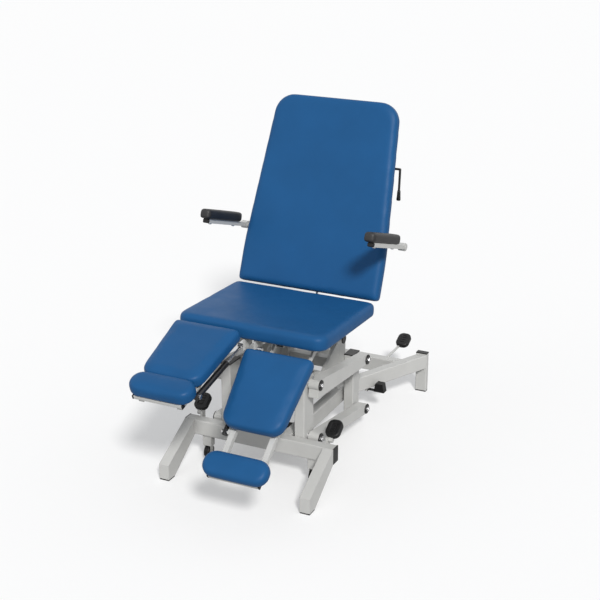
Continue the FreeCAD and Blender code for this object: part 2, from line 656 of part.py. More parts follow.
def leg_spring_lug(side):
    """Lug and pin under the seat's front that carry one leg section's gas spring."""
    inner = d.leg_spring_x - d.spring_radius - d.side_gap - d.lug_thick
    lug = plate("SpringLug", ((-d.frame_rail_front, -seat_frame_top),
                              (-d.frame_rail_front, -d.leg_spring_drop),
                              (-leg_spring_reach - d.spring_radius, -d.leg_spring_drop - d.spring_radius),
                              (-leg_spring_reach - d.spring_radius, -seat_frame_top)),
                d.lug_thick, "YZ_Plane", inner)
    pin = rod("x", d.spring_pin, d.lug_thick + d.spring_radius * 2 + d.side_gap * 2, inner,
              -leg_spring_reach, -d.leg_spring_drop)
    bridge = box(inner, d.frame_rail_x, -d.frame_rail_front, d.lug_thick * 2 - d.frame_rail_front,
                 -seat_frame_top - d.bridge_thick, -seat_frame_top)
    piece = fuse(lug, pin, bridge)
    return piece if side > 0 else mirror(piece)


spring_lugs = [leg_spring_lug(side) for side in (1, -1)]
back_hinge = rod("x", d.back_hinge_radius, d.back_hinge_half * 2, -d.back_hinge_half, back_axis_in, back_axis_up)
label(on_seat(fuse(seat_rail, mirror(seat_rail), capped_tube, rear_tube, leg_hinge, back_hinge,
                   *spring_lugs)), "seat_frame")
tube_cap = rod("x", d.frame_tube_radius + d.rubber_inset, d.cap_plate, d.capped_tube_half,
               -d.capped_tube_reach, frame_mid)
label(group(pair(post_cap), on_seat(pair(tube_cap))), "lift_end_caps")
hinge_y, hinge_z = seat_point(-d.leg_hinge_reach, hinge_up)


# ---------------------------------------------------------------- backrest
def on_back(thing):
    """Drawn in the backrest's frame: Z up the back, -Y toward the sitter, origin on its hinge."""
    return place(thing, 0, back_axis_y, back_axis_z, -d.back_lean)


back_top = d.back_start + d.back_long
taper_z = d.back_start + d.back_parallel


def back_outline(inset):
    return ((inset - d.back_half_low, d.back_start + inset), (d.back_half_low - inset, d.back_start + inset),
            (d.back_half_low - inset, taper_z), (d.back_half_high - inset, back_top - inset),
            (inset - d.back_half_high, back_top - inset), (inset - d.back_half_low, taper_z))


def back_panel(name, inset, thick, rear_face):
    """A panel with the backrest's outline; its rear face lies at a given Y."""
    body = new_body(name)
    sketch = new_sketch(body, name + "_face", "XZ_Plane")
    raise_sketch(sketch, thick - rear_face)
    draw_outline(sketch, back_outline(as_size(inset)))
    feature = extrude(body, name + "_panel", "PartDesign::Pad", sketch, thick)
    top = (back_top - inset).value

    def at_top(a, b):
        return abs(a.y - b.y) > 1 and abs(a.z - top) < 0.01 and abs(b.z - top) < 0.01

    round_edges(body, feature, at_top, d.back_corner - inset)
    return body


pad_rear = d.back_cushion - d.back_front
label(on_back(back_panel("BackPad", as_size(0), d.back_cushion, pad_rear)), "back_cushion")
board_rear = pad_rear + d.board_thick
label(on_back(back_panel("BackBoard", d.board_inset, d.board_thick - d.side_gap, board_rear)), "back_board")
tube_y = board_rear + d.back_tube / 2
back_stile = tube("BackStile", d.back_tube, d.back_tube, d.back_tube_top - d.back_start, d.leg_tube_wall)
place(back_stile, d.back_tube_x, tube_y, d.back_start)
back_rungs = [rod("x", d.back_tube / 2, d.back_tube_x * 2, -d.back_tube_x, tube_y, height)
              for height in (d.back_cross_low, d.back_cross_high)]
lug_outline = ((-d.back_lug_radius, -d.back_lug_radius), (d.back_lug_radius, -d.back_lug_radius),
               (tube_y + d.back_tube / 2, d.back_start * 2), (board_rear, d.back_start * 2),
               (board_rear, d.back_start))
back_lug = plate("BackLug", lug_outline, d.back_lug_thick, "YZ_Plane", d.back_tube_x - d.back_lug_thick / 2,
                 ((0, 0, d.back_hinge_radius + d.running_gap),))
arm_reach = d.arm_bar_x + d.arm_bar_wide / 2 + d.side_gap
arm_pivot = rod("x", d.arm_pin_radius, arm_reach * 2, -arm_reach, d.arm_axis_behind, d.arm_height)
arm_stop = rod("x", d.arm_pin_radius + d.washer_thick, d.washer_thick, arm_reach, d.arm_axis_behind, d.arm_height)
back_spring_lug = fuse(
    box(d.spring_radius + d.side_gap, d.spring_radius + d.side_gap + d.lug_thick, board_rear,
        d.back_spring_behind + d.spring_radius, d.back_spring_height - d.spring_radius,
        d.back_spring_height + d.spring_radius),
    box(-d.back_tube_x, d.back_tube_x, board_rear, board_rear + d.lug_thick,
        d.back_spring_height - d.spring_radius, d.back_spring_height + d.spring_radius))
label(on_back(fuse(back_stile, mirror(back_stile), *back_rungs, back_lug, mirror(back_lug), arm_pivot,
                   arm_stop, mirror(arm_stop), back_spring_lug)), "back_frame")


# ---------------------------------------------------------------- gas springs
def gas_spring(name, side, body_long, lap, start, end, pinned):
    """Cylinder at the start and rod at the end, in world Y and Z; one of them is bored for its pin."""
    dy, dz = end[0] - start[0], end[1] - start[1]
    reach = math.hypot(dy.value, dz.value)
    length = Size(reach, "sqrt((%s)^2 + (%s)^2)" % (dy.text, dz.text))
    lean = Size(math.degrees(math.acos(dz.value / reach)), "(acos(%s / %s) / 1 deg)" % (dz.text, length.text))
    turn = -lean if dy.value > 0 else lean
    barrel = cut(rod("z", d.spring_radius, body_long + d.spring_radius, 0, 0, -d.spring_radius),
                 rod("z", d.spring_rod + d.running_gap, body_long - d.spring_floor, 0, 0, d.spring_floor))
    stem = fuse(rod("z", d.spring_rod, length - body_long + lap, 0, 0, body_long - lap),
                rod("x", d.spring_eye, d.spring_radius * 2, -d.spring_radius, 0, length))
    bore = rod("x", d.spring_pin + d.running_gap, d.spring_radius * 2, -d.spring_radius, 0,
               as_size(0) if pinned == "cylinder" else length)
    if pinned == "cylinder":
        barrel = cut(barrel, bore)
    else:
        stem = cut(stem, bore)
    return [place(piece, side, start[0], start[1], turn) for piece in (barrel, stem)]


back_root = (back_root_y, back_root_z)
back_end = (back_axis_y + d.back_spring_height * sine(d.back_lean) + d.back_spring_behind * cosine(d.back_lean),
            back_axis_z + d.back_spring_height * cosine(d.back_lean) - d.back_spring_behind * sine(d.back_lean))
barrel, stem = gas_spring("BackSpring", 0, d.back_spring_body, d.spring_lap, back_root, back_end, "cylinder")
label(barrel, "back_spring_cylinder")
label(stem, "back_spring_rod")
root_inner = d.spring_radius + d.side_gap
root_lug = box(root_inner, root_inner + d.lug_thick, back_root_y - d.spring_radius,
               back_root_y + d.spring_radius, upright_low + d.lift_bar_rise + d.upright_wide / 2,
               back_root_z + d.spring_radius)
root_pin = rod("x", d.spring_pin, root_inner * 2, -root_inner, back_root_y, back_root_z)
label(group(pair(upright), lift_bars[0], lift_bars[1], fuse(root_lug, root_pin)), "lift_uprights")

# ---------------------------------------------------------------- release lever
lever_bar = rod("x", d.lever_radius, d.lever_x - d.back_tube_x - d.back_tube / 2 - d.side_gap,
                d.back_tube_x + d.back_tube / 2 + d.side_gap, d.lever_behind, d.lever_height)
lever_slant = Size(math.degrees(math.atan2(d.lever_kick.value, d.lever_drop.value)),
                   "(atan(%s / %s) / 1 deg)" % (d.lever_kick.text, d.lever_drop.text))
lever_long = d.lever_drop / cosine(lever_slant)
hand_bar = rod("z", d.lever_radius, lever_long, 0, 0, 0)
place(hand_bar, d.lever_x, d.lever_behind, d.lever_height, lever_slant + 180)
elbow = doc.addObject("Part::Sphere", "Elbow")
bind(elbow, "Radius", d.lever_radius)
place(elbow, d.lever_x, d.lever_behind, d.lever_height)
label(on_back(fuse(lever_bar, elbow, hand_bar)), "release_lever")
grip = doc.addObject("Part::Cone", "Grip")
bind(grip, "Radius1", d.lever_radius + d.washer_thick / 2)
bind(grip, "Radius2", d.grip_radius)
bind(grip, "Height", d.grip_long)
place(grip, d.lever_x, d.lever_behind + d.lever_kick, d.lever_height - d.lever_drop, lever_slant + 180)
label(on_back(group(grip)), "release_grip")

# ---------------------------------------------------------------- armrests
def on_arm(thing):
    """Drawn in an armrest's frame: origin on its pivot, -Y along the rest."""
    tipped = group(thing)
    place(tipped, 0, d.arm_axis_behind, d.arm_height, d.arm_tip)
    return on_back(group(tipped))


arm_bar_inner = d.arm_bar_x - d.arm_bar_wide / 2
arm_bar_block = box(arm_bar_inner, d.arm_bar_x + d.arm_bar_wide / 2, -d.arm_bar_front, d.arm_bar_rear,
                    -d.arm_bar_tall / 2, d.arm_bar_tall / 2)
arm_hub = rod("x", d.arm_hub_radius, d.arm_bar_wide, arm_bar_inner, 0, 0)
arm_bore = rod("x", d.arm_pin_radius + d.running_gap, d.arm_bar_wide, arm_bar_inner, 0, 0)
arm_bar = cut(fuse(arm_bar_block, arm_hub), arm_bore)
arm_pad_half = d.arm_pad_wide / 2
arm_pad_front = -d.arm_pad_start - d.arm_pad_long
arm_plan = ((d.arm_pad_x - arm_pad_half, arm_pad_front), (d.arm_pad_x + arm_pad_half, arm_pad_front),
            (d.arm_pad_x + arm_pad_half, -d.arm_pad_start), (d.arm_pad_x - arm_pad_half, -d.arm_pad_start))
arm_pad = pad_block("ArmPad", arm_plan, d.arm_pad_tall, d.arm_bar_tall / 2 + d.side_gap, arm_pad_front,
                    -d.arm_pad_start, d.arm_pad_radius, d.arm_pad_radius)
for side_name, handed in (("right", group), ("left", mirror)):
    label(on_arm(handed(arm_bar)), "armrest_bar_" + side_name)
    label(on_arm(handed(arm_pad)), "armrest_pad_" + side_name)

# ---------------------------------------------------------------- leg sections and footrests
leg_end = leg_start + d.leg_long
leg_board_low = d.leg_top - d.leg_cushion - d.board_thick
leg_tube_z = leg_board_low - d.leg_tube / 2


def on_leg(thing, angle):
    """Drawn in a leg section's frame: origin on its hinge, -Y along the leg, Z through the pad."""
    return place(thing, 0, hinge_y, hinge_z, angle)


def leg_plan(inset):
    """Plan of one leg pad: it narrows toward the foot."""
    rear, front = d.leg_half_rear - inset, d.leg_half_front - inset
    return ((d.leg_middle_x - front, inset - leg_end), (d.leg_middle_x + front, inset - leg_end),
            (d.leg_middle_x + rear, -leg_start - inset), (d.leg_middle_x - rear, -leg_start - inset))


def leg_frame():
    """Two square tubes under the board, side plates and hubs on the hinge rod, spring lug."""
    parts = []
    bores = []
    for offset in (-d.leg_tube_offset, d.leg_tube_offset):
        centre = d.leg_middle_x + offset
        stile = tube("LegTube", d.leg_tube, d.leg_tube, d.leg_long - d.leg_board_inset * 2,
                     d.leg_tube_wall, role="XZ_Plane")
        place(stile, centre, d.leg_board_inset - leg_end, leg_tube_z)
        hub_top = d.leg_hub_radius - d.side_gap
        web = plate("LegWeb", ((0, -hub_top), (0, hub_top), (-d.leg_web_bend, hub_top),
                               (-leg_start - d.leg_board_inset, leg_board_low - d.leg_tube),
                               (-d.leg_arm_reach, leg_board_low - d.leg_tube)),
                    d.leg_arm_thick, "YZ_Plane", centre - d.leg_arm_thick / 2)
        hub = rod("x", d.leg_hub_radius, d.leg_arm_thick * 2, centre - d.leg_arm_thick, 0, 0)
        parts += [stile, web, hub]
        bores.append(rod("x", d.leg_hinge_radius + d.running_gap, d.leg_arm_thick * 4,
                         centre - d.leg_arm_thick * 2, 0, 0))
    lug_x = d.leg_spring_x + d.spring_radius + d.side_gap
    parts.append(box(lug_x, lug_x + d.lug_thick, -d.leg_spring_end - d.spring_eye,
                     d.leg_board_inset + d.leg_tube - leg_end, d.leg_spring_height - d.spring_eye,
                     d.leg_spring_height + d.spring_eye))
    parts.append(rod("x", d.leg_cross_radius, d.leg_tube_offset * 2 - d.leg_tube,
                     d.leg_middle_x - d.leg_tube_offset + d.leg_tube / 2, -d.leg_arm_reach, leg_tube_z))
    return cut(fuse(*parts), *bores)


def footrest_frame():
    """Two square bars that slide in the leg tubes, and the plate under the footrest."""
    half_bar = d.slide_bar / 2
    far_y = -leg_end - d.footrest_long + d.board_inset
    bars = [box(d.leg_middle_x + offset - half_bar, d.leg_middle_x + offset + half_bar, far_y,
                d.slide_lap - leg_end, leg_tube_z - half_bar, leg_tube_z + half_bar)
            for offset in (-d.leg_tube_offset, d.leg_tube_offset)]
    flat = box(d.leg_middle_x - d.footrest_tube_half, d.leg_middle_x + d.footrest_tube_half, far_y,
               -leg_end - d.board_inset, leg_tube_z + half_bar, d.leg_top - d.footrest_thick - d.side_gap)
    return fuse(flat, *bars)


def footrest_plan():
    return ((d.leg_middle_x - d.footrest_half, -leg_end - d.footrest_long),
            (d.leg_middle_x + d.footrest_half, -leg_end - d.footrest_long),
            (d.leg_middle_x + d.footrest_half, -leg_end), (d.leg_middle_x - d.footrest_half, -leg_end))


def leg_section(side, angle, slide_out):
    """Frame, board, cushion and footrest of one side; the left one is the mirror of the right."""
    def handed(piece):
        return group(piece) if side == "right" else mirror(piece)

    label(on_leg(handed(leg_frame()), angle), "leg_frame_" + side)
    board = pad_block("LegBoard", leg_plan(d.leg_board_inset), d.board_thick - d.side_gap, leg_board_low,
                      d.leg_board_inset - leg_end, -leg_start - d.leg_board_inset,
                      d.leg_front_radius - d.leg_board_inset, d.leg_rear_radius / 2)
    label(on_leg(handed(board), angle), "leg_board_" + side)
    pad = pad_block("LegPad", leg_plan(as_size(0)), d.leg_cushion, d.leg_top - d.leg_cushion, -leg_end,
                    -leg_start, d.leg_front_radius, d.leg_rear_radius)
    label(on_leg(handed(pad), angle), "leg_cushion_" + side)
    frame = footrest_frame()
    rest = pad_block("Footrest", footrest_plan(), d.footrest_thick, d.leg_top - d.footrest_thick,
                     -leg_end - d.footrest_long, -leg_end, d.footrest_corner, d.footrest_corner)
    for piece, name in ((frame, "footrest_frame_"), (rest, "footrest_cushion_")):
        moved = group(piece)
        place(moved, 0, -slide_out)
        label(on_leg(handed(moved), angle), name + side)
    spring_x = d.leg_spring_x if side == "right" else -d.leg_spring_x
    start = seat_point(-leg_spring_reach, -d.leg_spring_drop)
    end = (hinge_y - d.leg_spring_end * cosine(angle) - d.leg_spring_height * sine(angle),
           hinge_z - d.leg_spring_end * sine(angle) + d.leg_spring_height * cosine(angle))
    barrel, stem = gas_spring("LegSpring", spring_x, d.leg_spring_body, d.spring_lap, end, start, "rod")
    label(barrel, "leg_spring_cylinder_" + side)
    label(stem, "leg_spring_rod_" + side)


leg_section("left", d.leg_angle_left, d.footrest_rest_gap)
leg_section("right", d.leg_angle_right, d.footrest_right_out)

# ---------------------------------------------------------------- castors and their pedals
castor_y = d.front_face_y + d.tube_deep / 2
stem_half_x = d.castor_stem_wide / 2
stem_half_y = d.castor_stem_deep / 2
guide_half_x = stem_half_x + d.castor_guide_thick
guide_half_y = stem_half_y + d.castor_guide_thick
sleeve = cut(box(d.castor_x - guide_half_x, d.castor_x + guide_half_x, castor_y - guide_half_y,
                 castor_y + guide_half_y, d.castor_guide_low, d.base_clear),
             box(d.castor_x - stem_half_x - d.side_gap, d.castor_x + stem_half_x + d.side_gap,
                 castor_y - stem_half_y - d.side_gap, castor_y + stem_half_y + d.side_gap,
                 d.castor_guide_low, d.base_clear))
pedal_axis_y = bar_rear_y + d.pedal_axis_behind
lug_x = d.pedal_x - d.pedal_wide / 4
pedal_bracket = fuse(box(lug_x, lug_x + d.lug_thick, bar_rear_y, pedal_axis_y + d.pedal_rod * 2,
                         bar_middle_z, d.pedal_axis_z + d.pedal_rod * 2),
                     rod("x", d.pedal_rod, d.lug_thick + d.pedal_hub_long, lug_x, pedal_axis_y,
                         d.pedal_axis_z))
castor_brackets = [pair(sleeve), pair(pedal_bracket)]

stem_block = box(d.castor_x - stem_half_x, d.castor_x + stem_half_x, castor_y - stem_half_y,
                 castor_y + stem_half_y, d.castor_z - d.castor_axle * 2, d.base_clear - d.side_gap)
wheel_room = box(d.castor_x - d.castor_wide / 2 - d.side_gap, d.castor_x + d.castor_wide / 2 + d.side_gap,
                 castor_y - stem_half_y, castor_y + stem_half_y, d.castor_z - d.castor_axle * 2,
                 d.castor_z + d.castor_radius + d.wheel_clear)
axle = rod("x", d.castor_axle, d.castor_stem_wide, d.castor_x - stem_half_x, castor_y, d.castor_z)
castor_fork = fuse(cut(stem_block, wheel_room), axle)
label(castor_fork, "castor_fork_right")
label(mirror(castor_fork), "castor_fork_left")
castor_wheel = cut(rod("x", d.castor_radius, d.castor_wide, d.castor_x - d.castor_wide / 2, castor_y,
                       d.castor_z),
                   rod("x", d.castor_axle + d.running_gap, d.castor_wide, d.castor_x - d.castor_wide / 2,
                       castor_y, d.castor_z))
label(castor_wheel, "castor_wheel_right")
label(mirror(castor_wheel), "castor_wheel_left")


def pedal_block(name, x, y, z, tilt):
    """Foot pad: a thick rounded block, tipped toward the foot."""
    body = new_body(name)
    sketch = new_sketch(body, name + "_plan", "XY_Plane")
    half_wide, half_long = d.pedal_wide / 2, d.pedal_long / 2
    draw_outline(sketch, ((-half_wide, -half_long), (half_wide, -half_long), (half_wide, half_long),
                          (-half_wide, half_long)))
    feature = extrude(body, name + "_block", "PartDesign::Pad", sketch, d.pedal_thick)
    round_edges(body, feature, lambda a, b: abs(a.z - b.z) > 1, d.pedal_round)
    return place(body, x, y, z, tilt)


hub_x = lug_x + d.lug_thick + d.side_gap
hub_long = d.pedal_hub_long - d.side_gap
arm_slant = Size(math.degrees(math.atan2(d.pedal_rise.value, d.pedal_out_y.value)),
                 "(atan(%s / %s) / 1 deg)" % (d.pedal_rise.text, d.pedal_out_y.text))
pedal_arm = rod("y", d.pedal_rod, d.pedal_out_y / cosine(arm_slant), 0, 0, 0)
arm_holder = group(pedal_arm)
place(arm_holder, hub_x + hub_long / 2, pedal_axis_y, d.pedal_axis_z, arm_slant)
pedal_hub = rod("x", d.pedal_rod * 2, hub_long, hub_x, pedal_axis_y, d.pedal_axis_z)
hub_bore = rod("x", d.pedal_rod + d.running_gap, hub_long, hub_x, pedal_axis_y, d.pedal_axis_z)
pedal_lever = cut(fuse(pedal_hub, arm_holder), hub_bore)
label(pedal_lever, "castor_lever_right")
label(mirror(pedal_lever), "castor_lever_left")
pad = pedal_block("CastorPad", d.pedal_x, pedal_axis_y + d.pedal_out_y, d.pedal_axis_z + d.pedal_rise + d.pad_lift,
                  d.pedal_tilt)
label(pad, "castor_pedal_right")
label(mirror(pad), "castor_pedal_left")

# ---------------------------------------------------------------- pump pedals
pump_slant = Size(math.degrees(math.atan2(d.pump_pedal_rise.value, d.pump_pedal_reach.value)),
                  "(atan(%s / %s) / 1 deg)" % (d.pump_pedal_rise.text, d.pump_pedal_reach.text))
pump_hub_x = d.pump_pedal_x - lug_half + d.side_gap
pump_hub = rod("x", d.pedal_rod * 2, d.pedal_hub_long, pump_hub_x, pump_axis_y, d.pump_pedal_axis_z)
pump_bore = rod("x", d.pedal_rod + d.running_gap, d.pedal_hub_long, pump_hub_x, pump_axis_y,
                d.pump_pedal_axis_z)
pump_rod = rod("y", d.pedal_rod, d.pump_pedal_reach / cosine(pump_slant), 0, 0, 0)
pump_rod_holder = group(pump_rod)
place(pump_rod_holder, pump_hub_x + d.pedal_hub_long / 2, pump_axis_y, d.pump_pedal_axis_z, pump_slant)
label(cut(fuse(pump_hub, pump_rod_holder), pump_bore), "pump_lever")
label(pedal_block("PumpPad", d.pump_pedal_x + d.pump_pad_shift, pump_axis_y + d.pump_pedal_reach,
                  d.pump_pedal_axis_z + d.pump_pedal_rise + d.pedal_rod + d.pump_pad_lift, d.pump_pad_tilt), "pump_pedal")

side_y = bar_rear_y + d.side_pedal_reach
side_z = d.base_clear - d.side_pedal_drop
side_share = (d.side_pedal_reach - d.rail_straight) / (d.rail_long - d.rail_straight)
side_pin_x = d.rail_middle_x + (rear_leg_x - d.rail_middle_x) * side_share
half_side = d.side_pedal_wide / 2
side_top_half = d.side_pedal_top / 2
side_pad_x = side_pin_x + d.side_pedal_out
side_hub = rod("y", d.side_hub_radius, d.pedal_hub_long, side_pin_x, side_y - d.pedal_hub_long / 2, side_z)
side_rod = rod("x", d.pedal_rod, d.side_pedal_out - half_side, side_pin_x, side_y, side_z)
side_body = plate("SidePad", ((side_pad_x - half_side, side_z), (side_pad_x + half_side, side_z),
                              (side_pad_x + side_top_half, side_z + d.side_pedal_tall),
                              (side_pad_x - side_top_half, side_z + d.side_pedal_tall)),
                  d.side_pedal_long, "XZ_Plane", d.side_pedal_long / 2)
side_pad = group(side_body)
place(side_pad, 0, side_y)
side_bore = rod("y", d.castor_axle + d.running_gap, d.pedal_hub_long, side_pin_x,
                side_y - d.pedal_hub_long / 2, side_z)
label(cut(fuse(side_hub, side_rod), side_bore), "side_lever")
label(side_pad, "side_pedal")
side_lugs = [box(side_pin_x - d.lug_thick / 2, side_pin_x + d.lug_thick / 2, start, start + d.lug_thick,
                 side_z - d.castor_axle, d.base_clear)
             for start in (side_y - d.pedal_hub_long / 2 - d.lug_thick - d.side_gap,
                           side_y + d.pedal_hub_long / 2 + d.side_gap)]
side_pin = rod("y", d.castor_axle, d.pedal_hub_long + d.lug_thick * 2 + d.side_gap * 2, side_pin_x,
               side_y - d.pedal_hub_long / 2 - d.lug_thick - d.side_gap, side_z)
label(group(fuse(side_pin, *side_lugs), *castor_brackets), "pedal_brackets")

# ---------------------------------------------------------------- check and export
doc.recompute()
for thing in doc.Objects:
    if "Invalid" in thing.State or "Error" in thing.State:
        raise RuntimeError("%s failed: %s" % (thing.Name, thing.State))
for node in nodes:
    if node.Shape.isNull() or not node.Shape.isValid():
        raise RuntimeError("%s has no valid shape" % node.Label)
os.makedirs("parts", exist_ok=True)
whole = FreeCAD.BoundBox()
for node in nodes:
    node.Shape.exportStep("parts/%s.step" % node.Label)
    whole.add(node.Shape.BoundBox)
print(len(nodes), "nodes", whole)
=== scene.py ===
import math

import bmesh
import bpy
from mathutils import Matrix, Vector


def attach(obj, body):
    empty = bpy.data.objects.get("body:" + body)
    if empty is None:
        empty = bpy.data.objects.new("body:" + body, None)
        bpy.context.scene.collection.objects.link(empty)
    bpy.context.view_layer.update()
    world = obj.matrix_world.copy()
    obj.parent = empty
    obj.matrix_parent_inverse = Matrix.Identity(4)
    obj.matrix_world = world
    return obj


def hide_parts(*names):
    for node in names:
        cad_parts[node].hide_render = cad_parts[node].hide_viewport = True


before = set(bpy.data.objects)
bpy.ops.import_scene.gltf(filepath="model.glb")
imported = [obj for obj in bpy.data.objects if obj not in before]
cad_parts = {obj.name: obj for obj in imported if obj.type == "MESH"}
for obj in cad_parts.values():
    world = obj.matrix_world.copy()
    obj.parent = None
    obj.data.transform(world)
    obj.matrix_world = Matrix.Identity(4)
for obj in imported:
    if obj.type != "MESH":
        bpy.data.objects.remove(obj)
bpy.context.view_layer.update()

# ------------------------------------------------------------------ floor, light and camera
# A plain pale studio floor, one soft distant lamp high in front on the sitter's left, a weak one
# low on the other side, and an even sky that reads as white behind the chair.
SUN_WHITE = (1.0, 0.99, 0.975)


def white_to_camera(tree, shaded, strength):
    """Shows a plain white to camera, glossy and clear rays, and the shaded look to all others."""
    path = tree.nodes.new("ShaderNodeLightPath")
    either = tree.nodes.new("ShaderNodeMath")
    either.operation = "MAXIMUM"
    tree.links.new(path.outputs["Is Glossy Ray"], either.inputs[0])
    tree.links.new(path.outputs["Is Transmission Ray"], either.inputs[1])
    seen = tree.nodes.new("ShaderNodeMath")
    seen.operation = "MAXIMUM"
    tree.links.new(path.outputs["Is Camera Ray"], seen.inputs[0])
    tree.links.new(either.outputs[0], seen.inputs[1])
    backdrop = tree.nodes.new("ShaderNodeBackground")
    backdrop.inputs["Color"].default_value = (1, 1, 1, 1)
    backdrop.inputs["Strength"].default_value = strength
    choice = tree.nodes.new("ShaderNodeMixShader")
    tree.links.new(seen.outputs[0], choice.inputs[0])
    tree.links.new(shaded.outputs[0], choice.inputs[1])
    tree.links.new(backdrop.outputs[0], choice.inputs[2])
    return choice


world = bpy.data.worlds.new("studio")
world.use_nodes = True
bpy.context.scene.world = world
world.node_tree.nodes.clear()
sky = world.node_tree.nodes.new("ShaderNodeBackground")
sky.inputs["Color"].default_value = (0.95, 0.97, 1.0, 1)
sky.inputs["Strength"].default_value = 0.46
sky_out = world.node_tree.nodes.new("ShaderNodeOutputWorld")
white_sky = white_to_camera(world.node_tree, sky, 1.0)
world.node_tree.links.new(white_sky.outputs[0], sky_out.inputs["Surface"])

floor_mesh = bmesh.new()
bmesh.ops.create_grid(floor_mesh, x_segments=1, y_segments=1, size=22.0)
floor_data = bpy.data.meshes.new("floor")
floor_mesh.to_mesh(floor_data)
floor_mesh.free()
floor = bpy.data.objects.new("floor", floor_data)
bpy.context.collection.objects.link(floor)
paper = bpy.data.materials.new("studio_paper")
paper.use_nodes = True
paper.node_tree.nodes.clear()
paper_matt = paper.node_tree.nodes.new("ShaderNodeBsdfDiffuse")
paper_glow = paper.node_tree.nodes.new("ShaderNodeEmission")
paper_glow.inputs["Strength"].default_value = 1.0
paper_path = paper.node_tree.nodes.new("ShaderNodeLightPath")
paper_tone = paper.node_tree.nodes.new("ShaderNodeMapRange")
paper_tone.inputs["To Min"].default_value = 0.55
paper_tone.inputs["To Max"].default_value = 0.97
paper.node_tree.links.new(paper_path.outputs["Is Camera Ray"], paper_tone.inputs["Value"])
paper.node_tree.links.new(paper_tone.outputs["Result"], paper_matt.inputs["Color"])
paper_share = paper.node_tree.nodes.new("ShaderNodeMath")
paper_share.operation = "MULTIPLY"
paper_share.inputs[1].default_value = 0.30
paper.node_tree.links.new(paper_path.outputs["Is Camera Ray"], paper_share.inputs[0])
paper_mix = paper.node_tree.nodes.new("ShaderNodeMixShader")
paper.node_tree.links.new(paper_share.outputs[0], paper_mix.inputs[0])
paper.node_tree.links.new(paper_matt.outputs[0], paper_mix.inputs[1])
paper.node_tree.links.new(paper_glow.outputs[0], paper_mix.inputs[2])
paper_out = paper.node_tree.nodes.new("ShaderNodeOutputMaterial")
paper.node_tree.links.new(paper_mix.outputs[0], paper_out.inputs["Surface"])
floor_data.materials.append(paper)


def lamp(name, toward, softness, power):
    """A distant lamp that shines along a direction, with soft-edged shadows."""
    data = bpy.data.lights.new(name, "SUN")
    data.energy = power
    data.angle = math.radians(softness)
    data.color = SUN_WHITE
    thing = bpy.data.objects.new(name, data)
    thing.rotation_euler = Vector(toward).to_track_quat("-Z", "Y").to_euler()
    bpy.context.collection.objects.link(thing)


lamp("key_lamp", (-0.48, 0.62, -0.64), 9.0, 2.7)
lamp("fill_lamp", (0.8, 0.9, -0.45), 40.0, 0.12)

camera_data = bpy.data.cameras.new("camera")
camera_data.lens = 77.47
camera_data.sensor_width = 36.0
camera = bpy.data.objects.new("camera", camera_data)
camera.location = (1.98906, -4.07236, 2.25899)
camera.rotation_euler = (math.radians(90 - 20.38), 0, math.radians(25.85))
bpy.context.collection.objects.link(camera)
bpy.context.scene.camera = camera
bpy.context.scene.view_settings.view_transform = "Standard"


# ------------------------------------------------------------------ powder-coated steel tube
# The base, lift, seat and leg frames are welded from rectangular steel tube with a light grey
# powder coat: a fine orange peel, a satin gloss, and faint uneven tone.
GREY_COAT = (0.54, 0.54, 0.525)


def new_finish(name, colour, roughness):
    """A material with one principled shader; returns it with its tree and shader."""
    finish = bpy.data.materials.new(name)
    finish.use_nodes = True
    shader = finish.node_tree.nodes["Principled BSDF"]
    shader.inputs["Base Color"].default_value = (*colour, 1)
    shader.inputs["Roughness"].default_value = roughness
    return finish, finish.node_tree, shader


def place_on_object(tree, scale=(1, 1, 1)):
    where = tree.nodes.new("ShaderNodeTexCoord")
    stretch = tree.nodes.new("ShaderNodeMapping")
    stretch.inputs["Scale"].default_value = scale
    tree.links.new(where.outputs["Object"], stretch.inputs["Vector"])
    return stretch.outputs["Vector"]


def noise(tree, vector, scale, detail=3.0, rough=0.55):
    pattern = tree.nodes.new("ShaderNodeTexNoise")
    pattern.inputs["Scale"].default_value = scale
    pattern.inputs["Detail"].default_value = detail
    pattern.inputs["Roughness"].default_value = rough
    tree.links.new(vector, pattern.inputs["Vector"])
    return pattern.outputs["Fac"]


def spread(tree, value, low, high):
    """Rescales a 0..1 pattern to a narrow band."""
    band = tree.nodes.new("ShaderNodeMapRange")
    band.inputs["From Min"].default_value = 0.3
    band.inputs["From Max"].default_value = 0.7
    band.inputs["To Min"].default_value = low
    band.inputs["To Max"].default_value = high
    tree.links.new(value, band.inputs["Value"])
    return band.outputs["Result"]


def tone(tree, shader, value, dark, light):
    """Base colour that wanders between two tones with a pattern."""
    mix = tree.nodes.new("ShaderNodeMix")
    mix.data_type = "RGBA"
    mix.inputs["A"].default_value = (*dark, 1)
    mix.inputs["B"].default_value = (*light, 1)
    tree.links.new(value, mix.inputs["Factor"])
    tree.links.new(mix.outputs["Result"], shader.inputs["Base Color"])


def relief(tree, shader, value, strength, depth):
    """Bump from a pattern, with its depth in metres."""
    bump = tree.nodes.new("ShaderNodeBump")
    bump.inputs["Strength"].default_value = strength
    bump.inputs["Distance"].default_value = depth
    tree.links.new(value, bump.inputs["Height"])
    tree.links.new(bump.outputs["Normal"], shader.inputs["Normal"])


def soft_edges(tree, shader, radius):
    """Rounds the look of sharp edges by a small radius, in metres, under the relief."""
    corner = tree.nodes.new("ShaderNodeBevel")
    corner.samples = 6
    corner.inputs["Radius"].default_value = radius
    bump = next(node for node in tree.nodes if node.type == "BUMP")
    tree.links.new(corner.outputs["Normal"], bump.inputs["Normal"])


def shade_of(colour, share):
    return tuple(channel * share for channel in colour)


